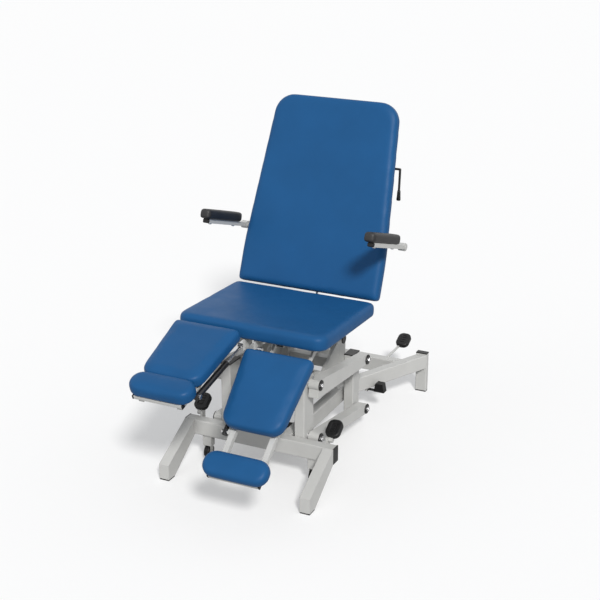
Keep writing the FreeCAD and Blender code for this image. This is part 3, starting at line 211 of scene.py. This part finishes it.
powder, powder_tree, powder_shader = new_finish("powder_coat", GREY_COAT, 0.38)
powder_spot = place_on_object(powder_tree)
tone(powder_tree, powder_shader, spread(powder_tree, noise(powder_tree, powder_spot, 9.0), 0, 1),
     shade_of(GREY_COAT, 0.94), GREY_COAT)
powder_tree.links.new(spread(powder_tree, noise(powder_tree, powder_spot, 25.0), 0.33, 0.44),
                      powder_shader.inputs["Roughness"])
relief(powder_tree, powder_shader, noise(powder_tree, powder_spot, 1100.0, 2.0), 0.25, 0.0002)
soft_edges(powder_tree, powder_shader, 0.0015)

COATED = ("front_crossbar", "base_rails", "rear_crossbar", "rear_legs", "front_feet", "front_columns",
          "pedal_brackets", "lower_lift_arms", "upper_lift_arms", "lift_posts", "lift_uprights",
          "lift_gussets", "seat_frame", "back_frame", "armrest_bar_right", "armrest_bar_left",
          "leg_frame_left", "leg_frame_right", "footrest_frame_left", "footrest_frame_right",
          "castor_lever_right", "castor_lever_left", "pump_lever", "castor_fork_right", "castor_fork_left")


def dress(node, finish):
    """Gives a CAD node its finish."""
    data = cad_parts[node].data
    data.materials.clear()
    data.materials.append(finish)


for node in COATED:
    dress(node, powder)

# ------------------------------------------------------------------ caps, feet and rubber
# Tube ends are closed with pressed-in black polyethylene caps; the feet and pedal pads are
# moulded black rubber with a dusty satin surface.
black_plastic, plastic_tree, plastic_shader = new_finish("black_cap_plastic",
                                                         (0.008, 0.008, 0.009), 0.36)
plastic_spot = place_on_object(plastic_tree)
tone(plastic_tree, plastic_shader, spread(plastic_tree, noise(plastic_tree, plastic_spot, 60.0), 0, 1),
     (0.006, 0.006, 0.0065), (0.010, 0.010, 0.0105))
plastic_shader.inputs["Specular IOR Level"].default_value = 0.3
relief(plastic_tree, plastic_shader, noise(plastic_tree, plastic_spot, 1400.0, 2.0), 0.3, 0.0001)
soft_edges(plastic_tree, plastic_shader, 0.0012)
black_rubber, rubber_tree, rubber_shader = new_finish("moulded_rubber",
                                                      (0.008, 0.008, 0.0085), 0.45)
rubber_spot = place_on_object(rubber_tree)
tone(rubber_tree, rubber_shader, spread(rubber_tree, noise(rubber_tree, rubber_spot, 45.0), 0, 1),
     (0.006, 0.006, 0.0065), (0.011, 0.011, 0.0115))
rubber_shader.inputs["Specular IOR Level"].default_value = 0.3
relief(rubber_tree, rubber_shader, noise(rubber_tree, rubber_spot, 700.0, 4.0), 0.35, 0.0003)
for node in ("base_end_caps", "column_caps", "lift_end_caps", "release_grip"):
    dress(node, black_plastic)
for node in ("rubber_feet", "castor_wheel_right", "castor_wheel_left", "side_pedal", "castor_pedal_right",
             "castor_pedal_left", "pump_pedal"):
    dress(node, black_rubber)

# ------------------------------------------------------------------ pins, rods and black-painted steel
# Pivot pins and gas-spring rods are bright zinc-plated or ground steel; the pump, springs,
# release lever and side lever are gloss black.
bright_steel, steel_tree, steel_shader = new_finish("zinc_plated_steel", (0.62, 0.62, 0.63), 0.28)
steel_shader.inputs["Metallic"].default_value = 1.0
steel_spot = place_on_object(steel_tree)
steel_tree.links.new(spread(steel_tree, noise(steel_tree, steel_spot, 220.0), 0.2, 0.36),
                     steel_shader.inputs["Roughness"])
relief(steel_tree, steel_shader, noise(steel_tree, steel_spot, 600.0), 0.1, 0.0001)
black_enamel, enamel_tree, enamel_shader = new_finish("black_enamel", (0.012, 0.012, 0.013), 0.25)
enamel_spot = place_on_object(enamel_tree)
enamel_tree.links.new(spread(enamel_tree, noise(enamel_tree, enamel_spot, 90.0), 0.2, 0.34),
                      enamel_shader.inputs["Roughness"])
relief(enamel_tree, enamel_shader, noise(enamel_tree, enamel_spot, 900.0), 0.15, 0.0001)
for node in ("front_arm_pins", "rear_arm_pins", "back_spring_rod", "leg_spring_rod_left",
             "leg_spring_rod_right"):
    dress(node, bright_steel)
for node in ("pump_cylinder", "pump_ram", "back_spring_cylinder", "leg_spring_cylinder_left",
             "leg_spring_cylinder_right", "release_lever", "side_lever"):
    dress(node, black_enamel)

# ------------------------------------------------------------------ upholstery boards
# Each cushion sits on a plywood board with a black stapled back cloth.
back_cloth, cloth_tree, cloth_shader = new_finish("board_back_cloth", (0.02, 0.02, 0.022), 0.85)
cloth_spot = place_on_object(cloth_tree)
tone(cloth_tree, cloth_shader, spread(cloth_tree, noise(cloth_tree, cloth_spot, 400.0), 0, 1),
     (0.012, 0.012, 0.014), (0.03, 0.03, 0.032))
relief(cloth_tree, cloth_shader, noise(cloth_tree, cloth_spot, 1500.0, 2.0), 0.5, 0.0003)
for node in ("seat_board", "back_board", "leg_board_left", "leg_board_right"):
    dress(node, back_cloth)

# ------------------------------------------------------------------ vinyl cushions
# Foam blocks in blue clinical vinyl, pulled tight over rounded edges with no seam on the face.
# Each is blown up a little by a cloth step, so that its faces crown and its edges stay soft, and
# its cover reaches down over the edge of its board.
BLUE_VINYL = (0.0105, 0.082, 0.222)
vinyl, vinyl_tree, vinyl_shader = new_finish("blue_vinyl", BLUE_VINYL, 0.45)
vinyl_spot = place_on_object(vinyl_tree)
tone(vinyl_tree, vinyl_shader, spread(vinyl_tree, noise(vinyl_tree, vinyl_spot, 6.0, 4.0), 0, 1),
     shade_of(BLUE_VINYL, 0.93), shade_of(BLUE_VINYL, 1.04))
vinyl_tree.links.new(spread(vinyl_tree, noise(vinyl_tree, vinyl_spot, 14.0), 0.40, 0.50),
                     vinyl_shader.inputs["Roughness"])
grain = vinyl_tree.nodes.new("ShaderNodeTexVoronoi")
grain.inputs["Scale"].default_value = 750.0
vinyl_tree.links.new(vinyl_spot, grain.inputs["Vector"])
relief(vinyl_tree, vinyl_shader, grain.outputs["Distance"], 0.15, 0.0003)
vinyl_shader.inputs["Specular IOR Level"].default_value = 0.16


def outlined(corners, segments=8):
    """Flat face from corners (x, y, radius), each corner rounded to its own radius."""
    shape = bmesh.new()
    points = [shape.verts.new((x, y, 0)) for x, y, radius in corners]
    shape.faces.new(points)
    for vertex, (x, y, radius) in zip(points, corners):
        if radius:
            bmesh.ops.bevel(shape, geom=[vertex], offset=radius, offset_type="OFFSET", segments=segments,
                            profile=0.5, affect="VERTICES", material=-1)
    return shape


def oblong(left, front, right, rear, radius):
    """Corners of a rectangle, all rounded alike."""
    return ((left, front, radius), (right, front, radius), (right, rear, radius),
            (left, rear, radius))


def raise_faces(shape, height):
    """Extrudes all faces straight up."""
    raised = bmesh.ops.extrude_face_region(shape, geom=list(shape.faces))
    lifted = [item for item in raised["geom"] if isinstance(item, bmesh.types.BMVert)]
    bmesh.ops.translate(shape, verts=lifted, vec=(0, 0, height))
    bmesh.ops.recalc_face_normals(shape, faces=shape.faces)


def rim_at(shape, level):
    """Edges that lie at one height."""
    return [edge for edge in shape.edges if all(abs(v.co.z - level) < 1e-6 for v in edge.verts)]


def block(corners, low, high, top_edge=0.0, bottom_edge=0.0, segments=5):
    """Outline raised from one height to another, with rounded top and bottom edges."""
    shape = outlined(corners)
    bmesh.ops.translate(shape, verts=shape.verts, vec=(0, 0, low))
    raise_faces(shape, high - low)
    for level, radius in ((high, top_edge), (low, bottom_edge)):
        if radius:
            rim = rim_at(shape, level)
            bmesh.ops.bevel(shape, geom=rim, offset=radius, offset_type="OFFSET", segments=segments,
                            profile=0.5, affect="EDGES", material=-1, clamp_overlap=True)
    return shape


def add_piece(name, shape, finish, body, smooth=True):
    """Turns a bmesh into a piece of the chair that moves with a body."""
    data = bpy.data.meshes.new(name)
    shape.to_mesh(data)
    shape.free()
    data.materials.append(finish)
    for polygon in data.polygons:
        polygon.use_smooth = smooth
    piece = bpy.data.objects.new(name, data)
    bpy.context.collection.objects.link(piece)
    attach(piece, body)
    return piece


def remeshed(data, voxel):
    """Even voxel remesh of a mesh."""
    carrier = bpy.data.objects.new("carrier", data)
    bpy.context.collection.objects.link(carrier)
    remesh = carrier.modifiers.new("even", "REMESH")
    remesh.mode = "VOXEL"
    remesh.voxel_size = voxel
    graph = bpy.context.evaluated_depsgraph_get()
    even = bpy.data.meshes.new_from_object(carrier.evaluated_get(graph))
    bpy.data.objects.remove(carrier)
    return even


SIM_STEPS, AIR, SMOOTHINGS = 20, 4.0, 6


def blown_up(data, pressure):
    """Cloth skin under inner pressure, without gravity, after its last step."""
    carrier = bpy.data.objects.new("skin", data)
    bpy.context.collection.objects.link(carrier)
    cloth = carrier.modifiers.new("skin", "CLOTH")
    cloth.settings.use_pressure = True
    cloth.settings.uniform_pressure_force = pressure
    cloth.settings.effector_weights.gravity = 0
    cloth.settings.tension_stiffness = 60
    cloth.settings.compression_stiffness = 60
    cloth.settings.shear_stiffness = 30
    cloth.settings.bending_stiffness = 5
    cloth.point_cache.frame_start = 1
    cloth.point_cache.frame_end = SIM_STEPS
    for number in range(1, SIM_STEPS + 1):
        bpy.context.scene.frame_set(number)
    graph = bpy.context.evaluated_depsgraph_get()
    after = [vertex.co.copy() for vertex in carrier.evaluated_get(graph).data.vertices]
    bpy.data.objects.remove(carrier)
    bpy.context.scene.frame_set(1)
    return after


def cushion(name, node, body, corners, low, high, turn, edge, swell, finish=vinyl,
            voxel=0.006):
    """One upholstered piece: rounded block, even mesh, cloth step, smoothing, one subdivision.

    The block is lower than the finished pad by the swell, which the cloth step gives back.
    """
    shape = block(corners, low, high - swell, edge, edge * 0.45, 6)
    data = bpy.data.meshes.new(name)
    shape.to_mesh(data)
    shape.free()
    even = remeshed(data, voxel)
    outward = [vertex.normal.copy() for vertex in even.vertices]
    for vertex, place, normal in zip(even.vertices, blown_up(even.copy(), AIR), outward):
        vertex.co += normal * min(max((place - vertex.co).dot(normal), 0), swell)
    soft = bmesh.new()
    soft.from_mesh(even)
    for _ in range(SMOOTHINGS):
        bmesh.ops.smooth_vert(soft, verts=soft.verts, factor=0.5, use_axis_x=True, use_axis_y=True,
                              use_axis_z=True)
    for vertex in soft.verts:
        vertex.co.z = max(vertex.co.z, low)
    bmesh.ops.transform(soft, matrix=turn, verts=soft.verts)
    piece = add_piece(name, soft, finish, body)
    finer = piece.modifiers.new("finer", "SUBSURF")
    finer.levels = finer.render_levels = 1
    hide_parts(node)
    return piece


# The seat pad: wide front corners, and a face that drops 2.2 degrees toward the back hinge.
SEAT_FRAME = Matrix.Translation((0, 0.0727, 0.593)) @ Matrix.Rotation(math.radians(-2.2), 4, "X")
SEAT_HALF, SEAT_FRONT, SEAT_REAR, SEAT_THICK = 0.293, -0.459, -0.001, 0.056
cushion("seat_pad", "seat_cushion", "lift",
        ((-SEAT_HALF, SEAT_FRONT, 0.045), (SEAT_HALF, SEAT_FRONT, 0.045),
         (SEAT_HALF, SEAT_REAR, 0.015), (-SEAT_HALF, SEAT_REAR, 0.015)),
        -SEAT_THICK, 0, SEAT_FRAME, 0.020, 0.004)

# The backrest pad: parallel at the seat, narrower toward the top, with two wide top corners.
BACK_FRAME = Matrix.Translation((0, 0.1007, 0.527)) @ Matrix.Rotation(math.radians(-22.1), 4, "X")
FACE_FORWARD = Matrix.Rotation(math.radians(90), 4, "X")
BACK_HALF_LOW, BACK_HALF_TOP = 0.293, 0.250
BACK_LOW, BACK_SHOULDER, BACK_TOP = 0.0495, 0.1975, 0.7895
cushion("back_pad", "back_cushion", "back",
        ((-BACK_HALF_LOW, BACK_LOW, 0.012), (BACK_HALF_LOW, BACK_LOW, 0.012),
         (BACK_HALF_LOW, BACK_SHOULDER, 0.04), (BACK_HALF_TOP, BACK_TOP, 0.070),
         (-BACK_HALF_TOP, BACK_TOP, 0.070), (-BACK_HALF_LOW, BACK_SHOULDER, 0.04)),
        0.001, 0.051, BACK_FRAME @ FACE_FORWARD, 0.019, 0.005)

# The two leg sections: pads that narrow toward the feet, each with a sliding footrest pad.
LEG_ANGLE = {"left": 17.7, "right": 39.4}
LEG_SIDE = {"left": -1, "right": 1}
LEG_REAR = {"left": -0.105, "right": -0.103}
LEG_FRONT, LEG_LOW, LEG_TOP = -0.400, 0.063, 0.117
LEG_MIDDLE, LEG_HALF_REAR, LEG_HALF_FRONT = 0.1425, 0.1320, 0.1130
FOOT_OUT = {"left": -0.001, "right": 0.0925}
FOOT_RISE = {"left": 0.008, "right": 0.0}
FOOT_HALF, FOOT_LONG, FOOT_LOW, FOOT_ROUND, FOOT_SHIFT = 0.1225, 0.092, 0.069, 0.044, 0.004


def leg_frame(side):
    """From a leg section's own axes, at its hinge, to the chair's."""
    hinge = Matrix.Translation((0, -0.281078, 0.532636))
    return hinge @ Matrix.Rotation(math.radians(LEG_ANGLE[side]), 4, "X")


for side in ("left", "right"):
    middle = LEG_SIDE[side] * LEG_MIDDLE
    cushion("leg_pad_" + side, "leg_cushion_" + side, "leg_" + side,
            ((middle - LEG_HALF_FRONT, LEG_FRONT, 0.044), (middle + LEG_HALF_FRONT, LEG_FRONT, 0.044),
             (middle + LEG_HALF_REAR, LEG_REAR[side], 0.015),
             (middle - LEG_HALF_REAR, LEG_REAR[side], 0.015)),
            LEG_LOW, LEG_TOP, leg_frame(side), 0.020, 0.007)
    rear = LEG_FRONT - FOOT_OUT[side]
    front = rear - FOOT_LONG
    middle += FOOT_SHIFT
    cushion("foot_pad_" + side, "footrest_cushion_" + side, "footrest_" + side,
            oblong(middle - FOOT_HALF, front, middle + FOOT_HALF, rear, FOOT_ROUND),
            FOOT_LOW, LEG_TOP + FOOT_RISE[side], leg_frame(side), 0.020, 0.006, voxel=0.005)

# ------------------------------------------------------------------ armrests
# Moulded black polyurethane pads with a fine leather grain, screwed to flat grey steel bars that
# fold up beside the backrest.
arm_skin, arm_tree, arm_shader = new_finish("moulded_polyurethane", (0.012, 0.012, 0.013), 0.5)
arm_spot = place_on_object(arm_tree)
tone(arm_tree, arm_shader, spread(arm_tree, noise(arm_tree, arm_spot, 30.0), 0, 1),
     (0.009, 0.009, 0.010), (0.016, 0.016, 0.017))
arm_grain = arm_tree.nodes.new("ShaderNodeTexVoronoi")
arm_grain.inputs["Scale"].default_value = 420.0
arm_tree.links.new(arm_spot, arm_grain.inputs["Vector"])
relief(arm_tree, arm_shader, arm_grain.outputs["Distance"], 0.3, 0.0004)
ARM_FRAME = (BACK_FRAME @ Matrix.Translation((0, 0.024, 0.268))
             @ Matrix.Rotation(math.radians(4.5), 4, "X"))
PAD_IN, PAD_OUT, PAD_FRONT, PAD_REAR = 0.308, 0.352, -0.346, -0.072
PAD_LOW, PAD_TOP, PAD_ROUND = 0.0083, 0.0463, 0.014
for side, hand in LEG_SIDE.items():
    inner, outer = sorted((hand * PAD_IN, hand * PAD_OUT))
    cushion("arm_pad_" + side, "armrest_pad_" + side, "armrest_" + side,
            oblong(inner, PAD_FRONT, outer, PAD_REAR, PAD_ROUND), PAD_LOW, PAD_TOP, ARM_FRAME,
            0.010, 0.002, arm_skin, voxel=0.004)

# A moulded cap closes each bar's front end, and two dome-headed screws go up through the bar
# into the pad.


def turned(profile, steps=24):
    """Profile (radius, height) spun about Z and closed."""
    shape = bmesh.new()
    line = [shape.verts.new((radius, 0, height)) for radius, height in profile]
    edges = [shape.edges.new(pair) for pair in zip(line, line[1:])]
    bmesh.ops.spin(shape, geom=line + edges, cent=(0, 0, 0), axis=(0, 0, 1), angle=math.tau, steps=steps,
                   use_merge=True)
    bmesh.ops.remove_doubles(shape, verts=shape.verts, dist=0.00002)
    bmesh.ops.recalc_face_normals(shape, faces=shape.faces)
    return shape


def gathered(shapes):
    """Several shapes, each with its own place, made one."""
    whole = bmesh.new()
    for shape, turn in shapes:
        bmesh.ops.transform(shape, matrix=turn, verts=shape.verts)
        part = bpy.data.meshes.new("part")
        shape.to_mesh(part)
        shape.free()
        whole.from_mesh(part)
        bpy.data.meshes.remove(part)
    return whole


def crease(piece, angle=35):
    """Keeps edges sharper than an angle crisp, and the rest smooth."""
    sharp = bmesh.new()
    sharp.from_mesh(piece.data)
    for edge in sharp.edges:
        edge.smooth = edge.calc_face_angle(0) < math.radians(angle)
    sharp.to_mesh(piece.data)
    sharp.free()
    return piece


def fitting(name, shapes, finish, body, angle=35):
    """Several small shapes as one piece that keeps its sharp edges."""
    return crease(add_piece(name, gathered(shapes), finish, body), angle)


UP_TO_FRONT = Matrix.Rotation(math.radians(90), 4, "X")
SCREW_DOME = ((0, 0), (0.0062, 0), (0.0066, -0.0008), (0.0058, -0.0030), (0.0035, -0.0042),
              (0.0018, -0.0044), (0.0018, -0.0028), (0, -0.0028))
BAR_MIDDLE, BAR_HALF_WIDE, BAR_HALF_TALL, BAR_FRONT = 0.332, 0.0127, 0.0082, -0.318
BAR_UNDERSIDE, SCREWS_ALONG = -0.008, (-0.105, -0.290)
for side, hand in LEG_SIDE.items():
    cap = block(oblong(-BAR_HALF_WIDE, -BAR_HALF_TALL, BAR_HALF_WIDE, BAR_HALF_TALL, 0.005),
                -0.001, 0.006, 0.0025, 0)
    spot = ARM_FRAME @ Matrix.Translation((hand * BAR_MIDDLE, BAR_FRONT, 0)) @ UP_TO_FRONT
    fitting("arm_bar_cap_" + side, [(cap, spot)], black_plastic, "armrest_" + side)
    screws = [(turned(SCREW_DOME),
               ARM_FRAME @ Matrix.Translation((hand * BAR_MIDDLE, along, BAR_UNDERSIDE)))
              for along in SCREWS_ALONG]
    fitting("arm_screws_" + side, screws, bright_steel, "armrest_" + side)

# ------------------------------------------------------------------ pivots of the lift arms
# Each arm turns on a pin: a black nylon washer as wide as the hub, and a zinc-plated hexagon
# bolt with a socket; the two upper front hubs have a grease nipple.
WASHER = ((0, 0), (0.0192, 0), (0.0197, 0.0006), (0.0197, 0.0032), (0.0190, 0.0040),
          (0.0100, 0.0044), (0.0092, 0.0044), (0, 0.0044))
WASHER_AT, BOLT_AT = 0.2156, 0.2192
PIVOTS = {"base": ((-0.2433, 0.156), (-0.2433, 0.366)),
          "lift": ((0.1860, 0.0926), (0.1860, 0.3026))}
BOLT_ACROSS, BOLT_TALL = 0.0168, 0.0066


def bolt_head(across, tall):
    """Hexagon head with a chamfered crown and a socket."""
    shape = bmesh.new()
    bmesh.ops.create_circle(shape, cap_ends=True, radius=across / math.sqrt(3), segments=6)
    raise_faces(shape, tall)
    bmesh.ops.bevel(shape, geom=rim_at(shape, tall), offset=0.0009, offset_type="OFFSET", segments=2, profile=0.5,
                    affect="EDGES", material=-1)
    shape.faces.ensure_lookup_table()
    top = max(shape.faces, key=lambda face: (face.calc_center_median().z, face.calc_area()))
    bmesh.ops.inset_individual(shape, faces=[top], thickness=across * 0.27, depth=0)
    bmesh.ops.inset_individual(shape, faces=[top], thickness=0.0002, depth=-tall * 0.5)
    return shape


for body, places in PIVOTS.items():
    for hand, label in ((1, "right"), (-1, "left")):
        facing = Matrix.Rotation(math.radians(90 * hand), 4, "Y")
        washers = [(turned(WASHER, 40), Matrix.Translation((hand * WASHER_AT, y, z)) @ facing)
                   for y, z in places]
        bolts = [(bolt_head(BOLT_ACROSS, BOLT_TALL),
                  Matrix.Translation((hand * BOLT_AT, y, z)) @ facing) for y, z in places]
        fitting(body + "_pivot_washers_" + label, washers, black_plastic, body)
        add_piece(body + "_pivot_bolts_" + label, gathered(bolts), bright_steel, body,
                  smooth=False)
NIPPLE = ((0, 0), (0.0042, 0), (0.0042, 0.0030), (0.0024, 0.0036), (0.0020, 0.0070),
          (0.0031, 0.0082), (0.0031, 0.0100), (0.0018, 0.0112), (0, 0.0112))
nipples = [(turned(NIPPLE, 16), Matrix.Translation((hand * 0.188, -0.2433, 0.3855)))
           for hand in (-1, 1)]
fitting("grease_nipples", nipples, bright_steel, "upper_arms")

# ------------------------------------------------------------------ foot pedals
# Moulded rubber pads pressed on their levers: a raised rim round a sunken tread with three
# ribs, all edges rounded.


def tread_pad(wide, long, thick, corner, rim):
    """Rounded pad with a sunken tread and ribs across it."""
    half_wide, half_long = wide / 2, long / 2
    pad = block(oblong(-half_wide, -half_long, half_wide, half_long, corner), 0, thick, 0.0055, 0.004)
    pad.faces.ensure_lookup_table()
    top = max(pad.faces, key=lambda face: (round(face.calc_center_median().z, 5), face.calc_area()))
    bmesh.ops.inset_individual(pad, faces=[top], thickness=rim, depth=0)
    bmesh.ops.inset_individual(pad, faces=[top], thickness=0.0025, depth=-0.0028)
    shapes = [(pad, Matrix())]
    for row in (-1, 0, 1):
        half_rib = half_wide - rim - 0.012
        rib = block(oblong(-half_rib, -0.0022, half_rib, 0.0022, 0.002), thick - 0.0032,
                    thick - 0.0008, 0.0009, 0, 3)
        shapes.append((rib, Matrix.Translation((0, row * long * 0.17, 0))))
    return gathered(shapes)


def set_pedal(node, body, place, tip, size):
    turn = Matrix.Translation(place) @ Matrix.Rotation(math.radians(tip), 4, "X")
    pad = fitting(node + "_pad", [(tread_pad(*size), turn)], black_rubber, body)
    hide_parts(node)


PEDAL_SIZE = (0.056, 0.072, 0.020, 0.022, 0.0085)
set_pedal("castor_pedal_right", "castor_pedal_right", (0.272, -0.2390, 0.198), 35, PEDAL_SIZE)
set_pedal("castor_pedal_left", "castor_pedal_left", (-0.272, -0.2390, 0.198), 35, PEDAL_SIZE)
set_pedal("pump_pedal", "pump_foot_lever", (0.138, 0.7787, 0.1440), 26, PEDAL_SIZE)

# ------------------------------------------------------------------ castors
# Twin-lipped rubber tyres on grey nylon hubs, each on a zinc-plated axle bolt through its fork.
TYRE = ((0.0150, -0.0098), (0.0205, -0.0106), (0.0232, -0.0098), (0.0246, -0.0070),
        (0.0250, -0.0030), (0.0243, -0.0012), (0.0243, 0.0012), (0.0250, 0.0030), (0.0246, 0.0070),
        (0.0232, 0.0098), (0.0205, 0.0106), (0.0150, 0.0098), (0.0150, -0.0098))
HUB = ((0.0045, -0.0108), (0.0090, -0.0108), (0.0095, -0.0085), (0.0140, -0.0080),
       (0.0152, -0.0090), (0.0152, 0.0090), (0.0140, 0.0080), (0.0095, 0.0085), (0.0090, 0.0108),
       (0.0045, 0.0108), (0.0045, -0.0108))
CASTOR_X, CASTOR_Y, CASTOR_Z, AXLE_END = 0.217, -0.3033, 0.037, 0.0139
ALONG_X = Matrix.Rotation(math.radians(90), 4, "Y")
nylon, nylon_tree, nylon_shader = new_finish("grey_nylon", (0.09, 0.09, 0.092), 0.5)
relief(nylon_tree, nylon_shader, noise(nylon_tree, place_on_object(nylon_tree), 900.0), 0.2, 0.0001)
for side, hand in LEG_SIDE.items():
    centre = Matrix.Translation((hand * CASTOR_X, CASTOR_Y, CASTOR_Z)) @ ALONG_X
    tyre = fitting("castor_tyre_" + side, [(turned(TYRE, 48), centre)], black_rubber,
                   "wheel_" + side, 50)
    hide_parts("castor_wheel_" + side)
    fitting("castor_hub_" + side, [(turned(HUB, 32), centre)], nylon,
            "wheel_" + side)
    ends = [(bolt_head(0.010, 0.0035),
             Matrix.Translation((hand * CASTOR_X + end * AXLE_END, CASTOR_Y, CASTOR_Z))
             @ Matrix.Rotation(math.radians(90 * end), 4, "Y")) for end in (-1, 1)]
    add_piece("castor_axle_" + side, gathered(ends), bright_steel, "castor_" + side,
              smooth=False)

# ------------------------------------------------------------------ leg gas springs
# Black gas springs under each leg section: a crimped collar where the bright rod comes out,
# and a zinc-plated eye at the foot end.
COLLAR = ((0.0052, -0.010), (0.0112, -0.010), (0.0116, -0.009), (0.0116, -0.004), (0.0108, -0.003),
          (0.0114, -0.0015), (0.0100, 0.0012), (0.0070, 0.0030), (0.0052, 0.0030))
EYE = ((0, -0.0135), (0.0075, -0.0135), (0.0085, -0.0125), (0.0085, 0.0125), (0.0075, 0.0135),
       (0, 0.0135))
SPRING_TOP, SPRING_X, BODY_LONG = Vector((0, -0.3665, 0.5188)), 0.036, 0.205
for side, hand in LEG_SIDE.items():
    foot = leg_frame(side) @ Vector((0, -0.403, 0.044))
    along = (SPRING_TOP - foot).normalized()
    tilt = Vector((0, 0, 1)).rotation_difference(along).to_matrix().to_4x4()
    root = Matrix.Translation((hand * SPRING_X, foot.y, foot.z))
    collar = (turned(COLLAR, 32), root @ tilt @ Matrix.Translation((0, 0, BODY_LONG)))
    fitting("spring_collar_" + side, [collar], black_enamel, "leg_cylinder_" + side)
    fitting("spring_eye_" + side, [(turned(EYE, 28), root @ ALONG_X)], bright_steel,
            "leg_cylinder_" + side)

# ------------------------------------------------------------------ footrest crossbars
# A grey square tube under each footrest's front edge, closed at both ends with black caps.
CROSS_HALF, CROSS_LOW, CROSS_HIGH, CROSS_DEEP, CROSS_EDGE = 0.093, 0.0545, 0.0688, 0.014, 0.0015
CAP_LONG, CAP_LIP = 0.006, 0.0004
for side, hand in LEG_SIDE.items():
    front = LEG_FRONT - FOOT_OUT[side] - FOOT_LONG + 0.005
    middle = hand * LEG_MIDDLE
    bar = block(oblong(middle - CROSS_HALF, front, middle + CROSS_HALF, front + CROSS_DEEP,
                       CROSS_EDGE), CROSS_LOW, CROSS_HIGH, CROSS_EDGE, CROSS_EDGE, 3)
    fitting("footrest_crossbar_" + side, [(bar, leg_frame(side))], powder,
            "footrest_" + side)
    caps = []
    for end in (-1, 1):
        inner, outer = sorted((middle + end * CROSS_HALF, middle + end * (CROSS_HALF + CAP_LONG)))
        cap = block(oblong(inner, front - CAP_LIP, outer, front + CROSS_DEEP + CAP_LIP, CROSS_EDGE),
                    CROSS_LOW - CAP_LIP, CROSS_HIGH, CROSS_EDGE, CROSS_EDGE, 3)
        caps.append((cap, leg_frame(side)))
    fitting("footrest_caps_" + side, caps, black_plastic, "footrest_" + side)

# ------------------------------------------------------------------ release lever grip
# The lever behind the backrest ends in a flared black sleeve pushed over the bent rod.
GRIP = ((0, 0), (0.0052, 0), (0.0060, 0.0015), (0.0066, 0.010), (0.0072, 0.024), (0.0082, 0.034),
        (0.0080, 0.0375), (0.0062, 0.0392), (0, 0.0395))
grip_turn = (BACK_FRAME @ Matrix.Translation((0.273, 0.048, 0.478))
             @ Matrix.Rotation(math.radians(180 + 17.53), 4, "X"))
grip = fitting("lever_grip", [(turned(GRIP, 28), grip_turn)], black_plastic,
               "lever", 50)
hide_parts("release_grip")
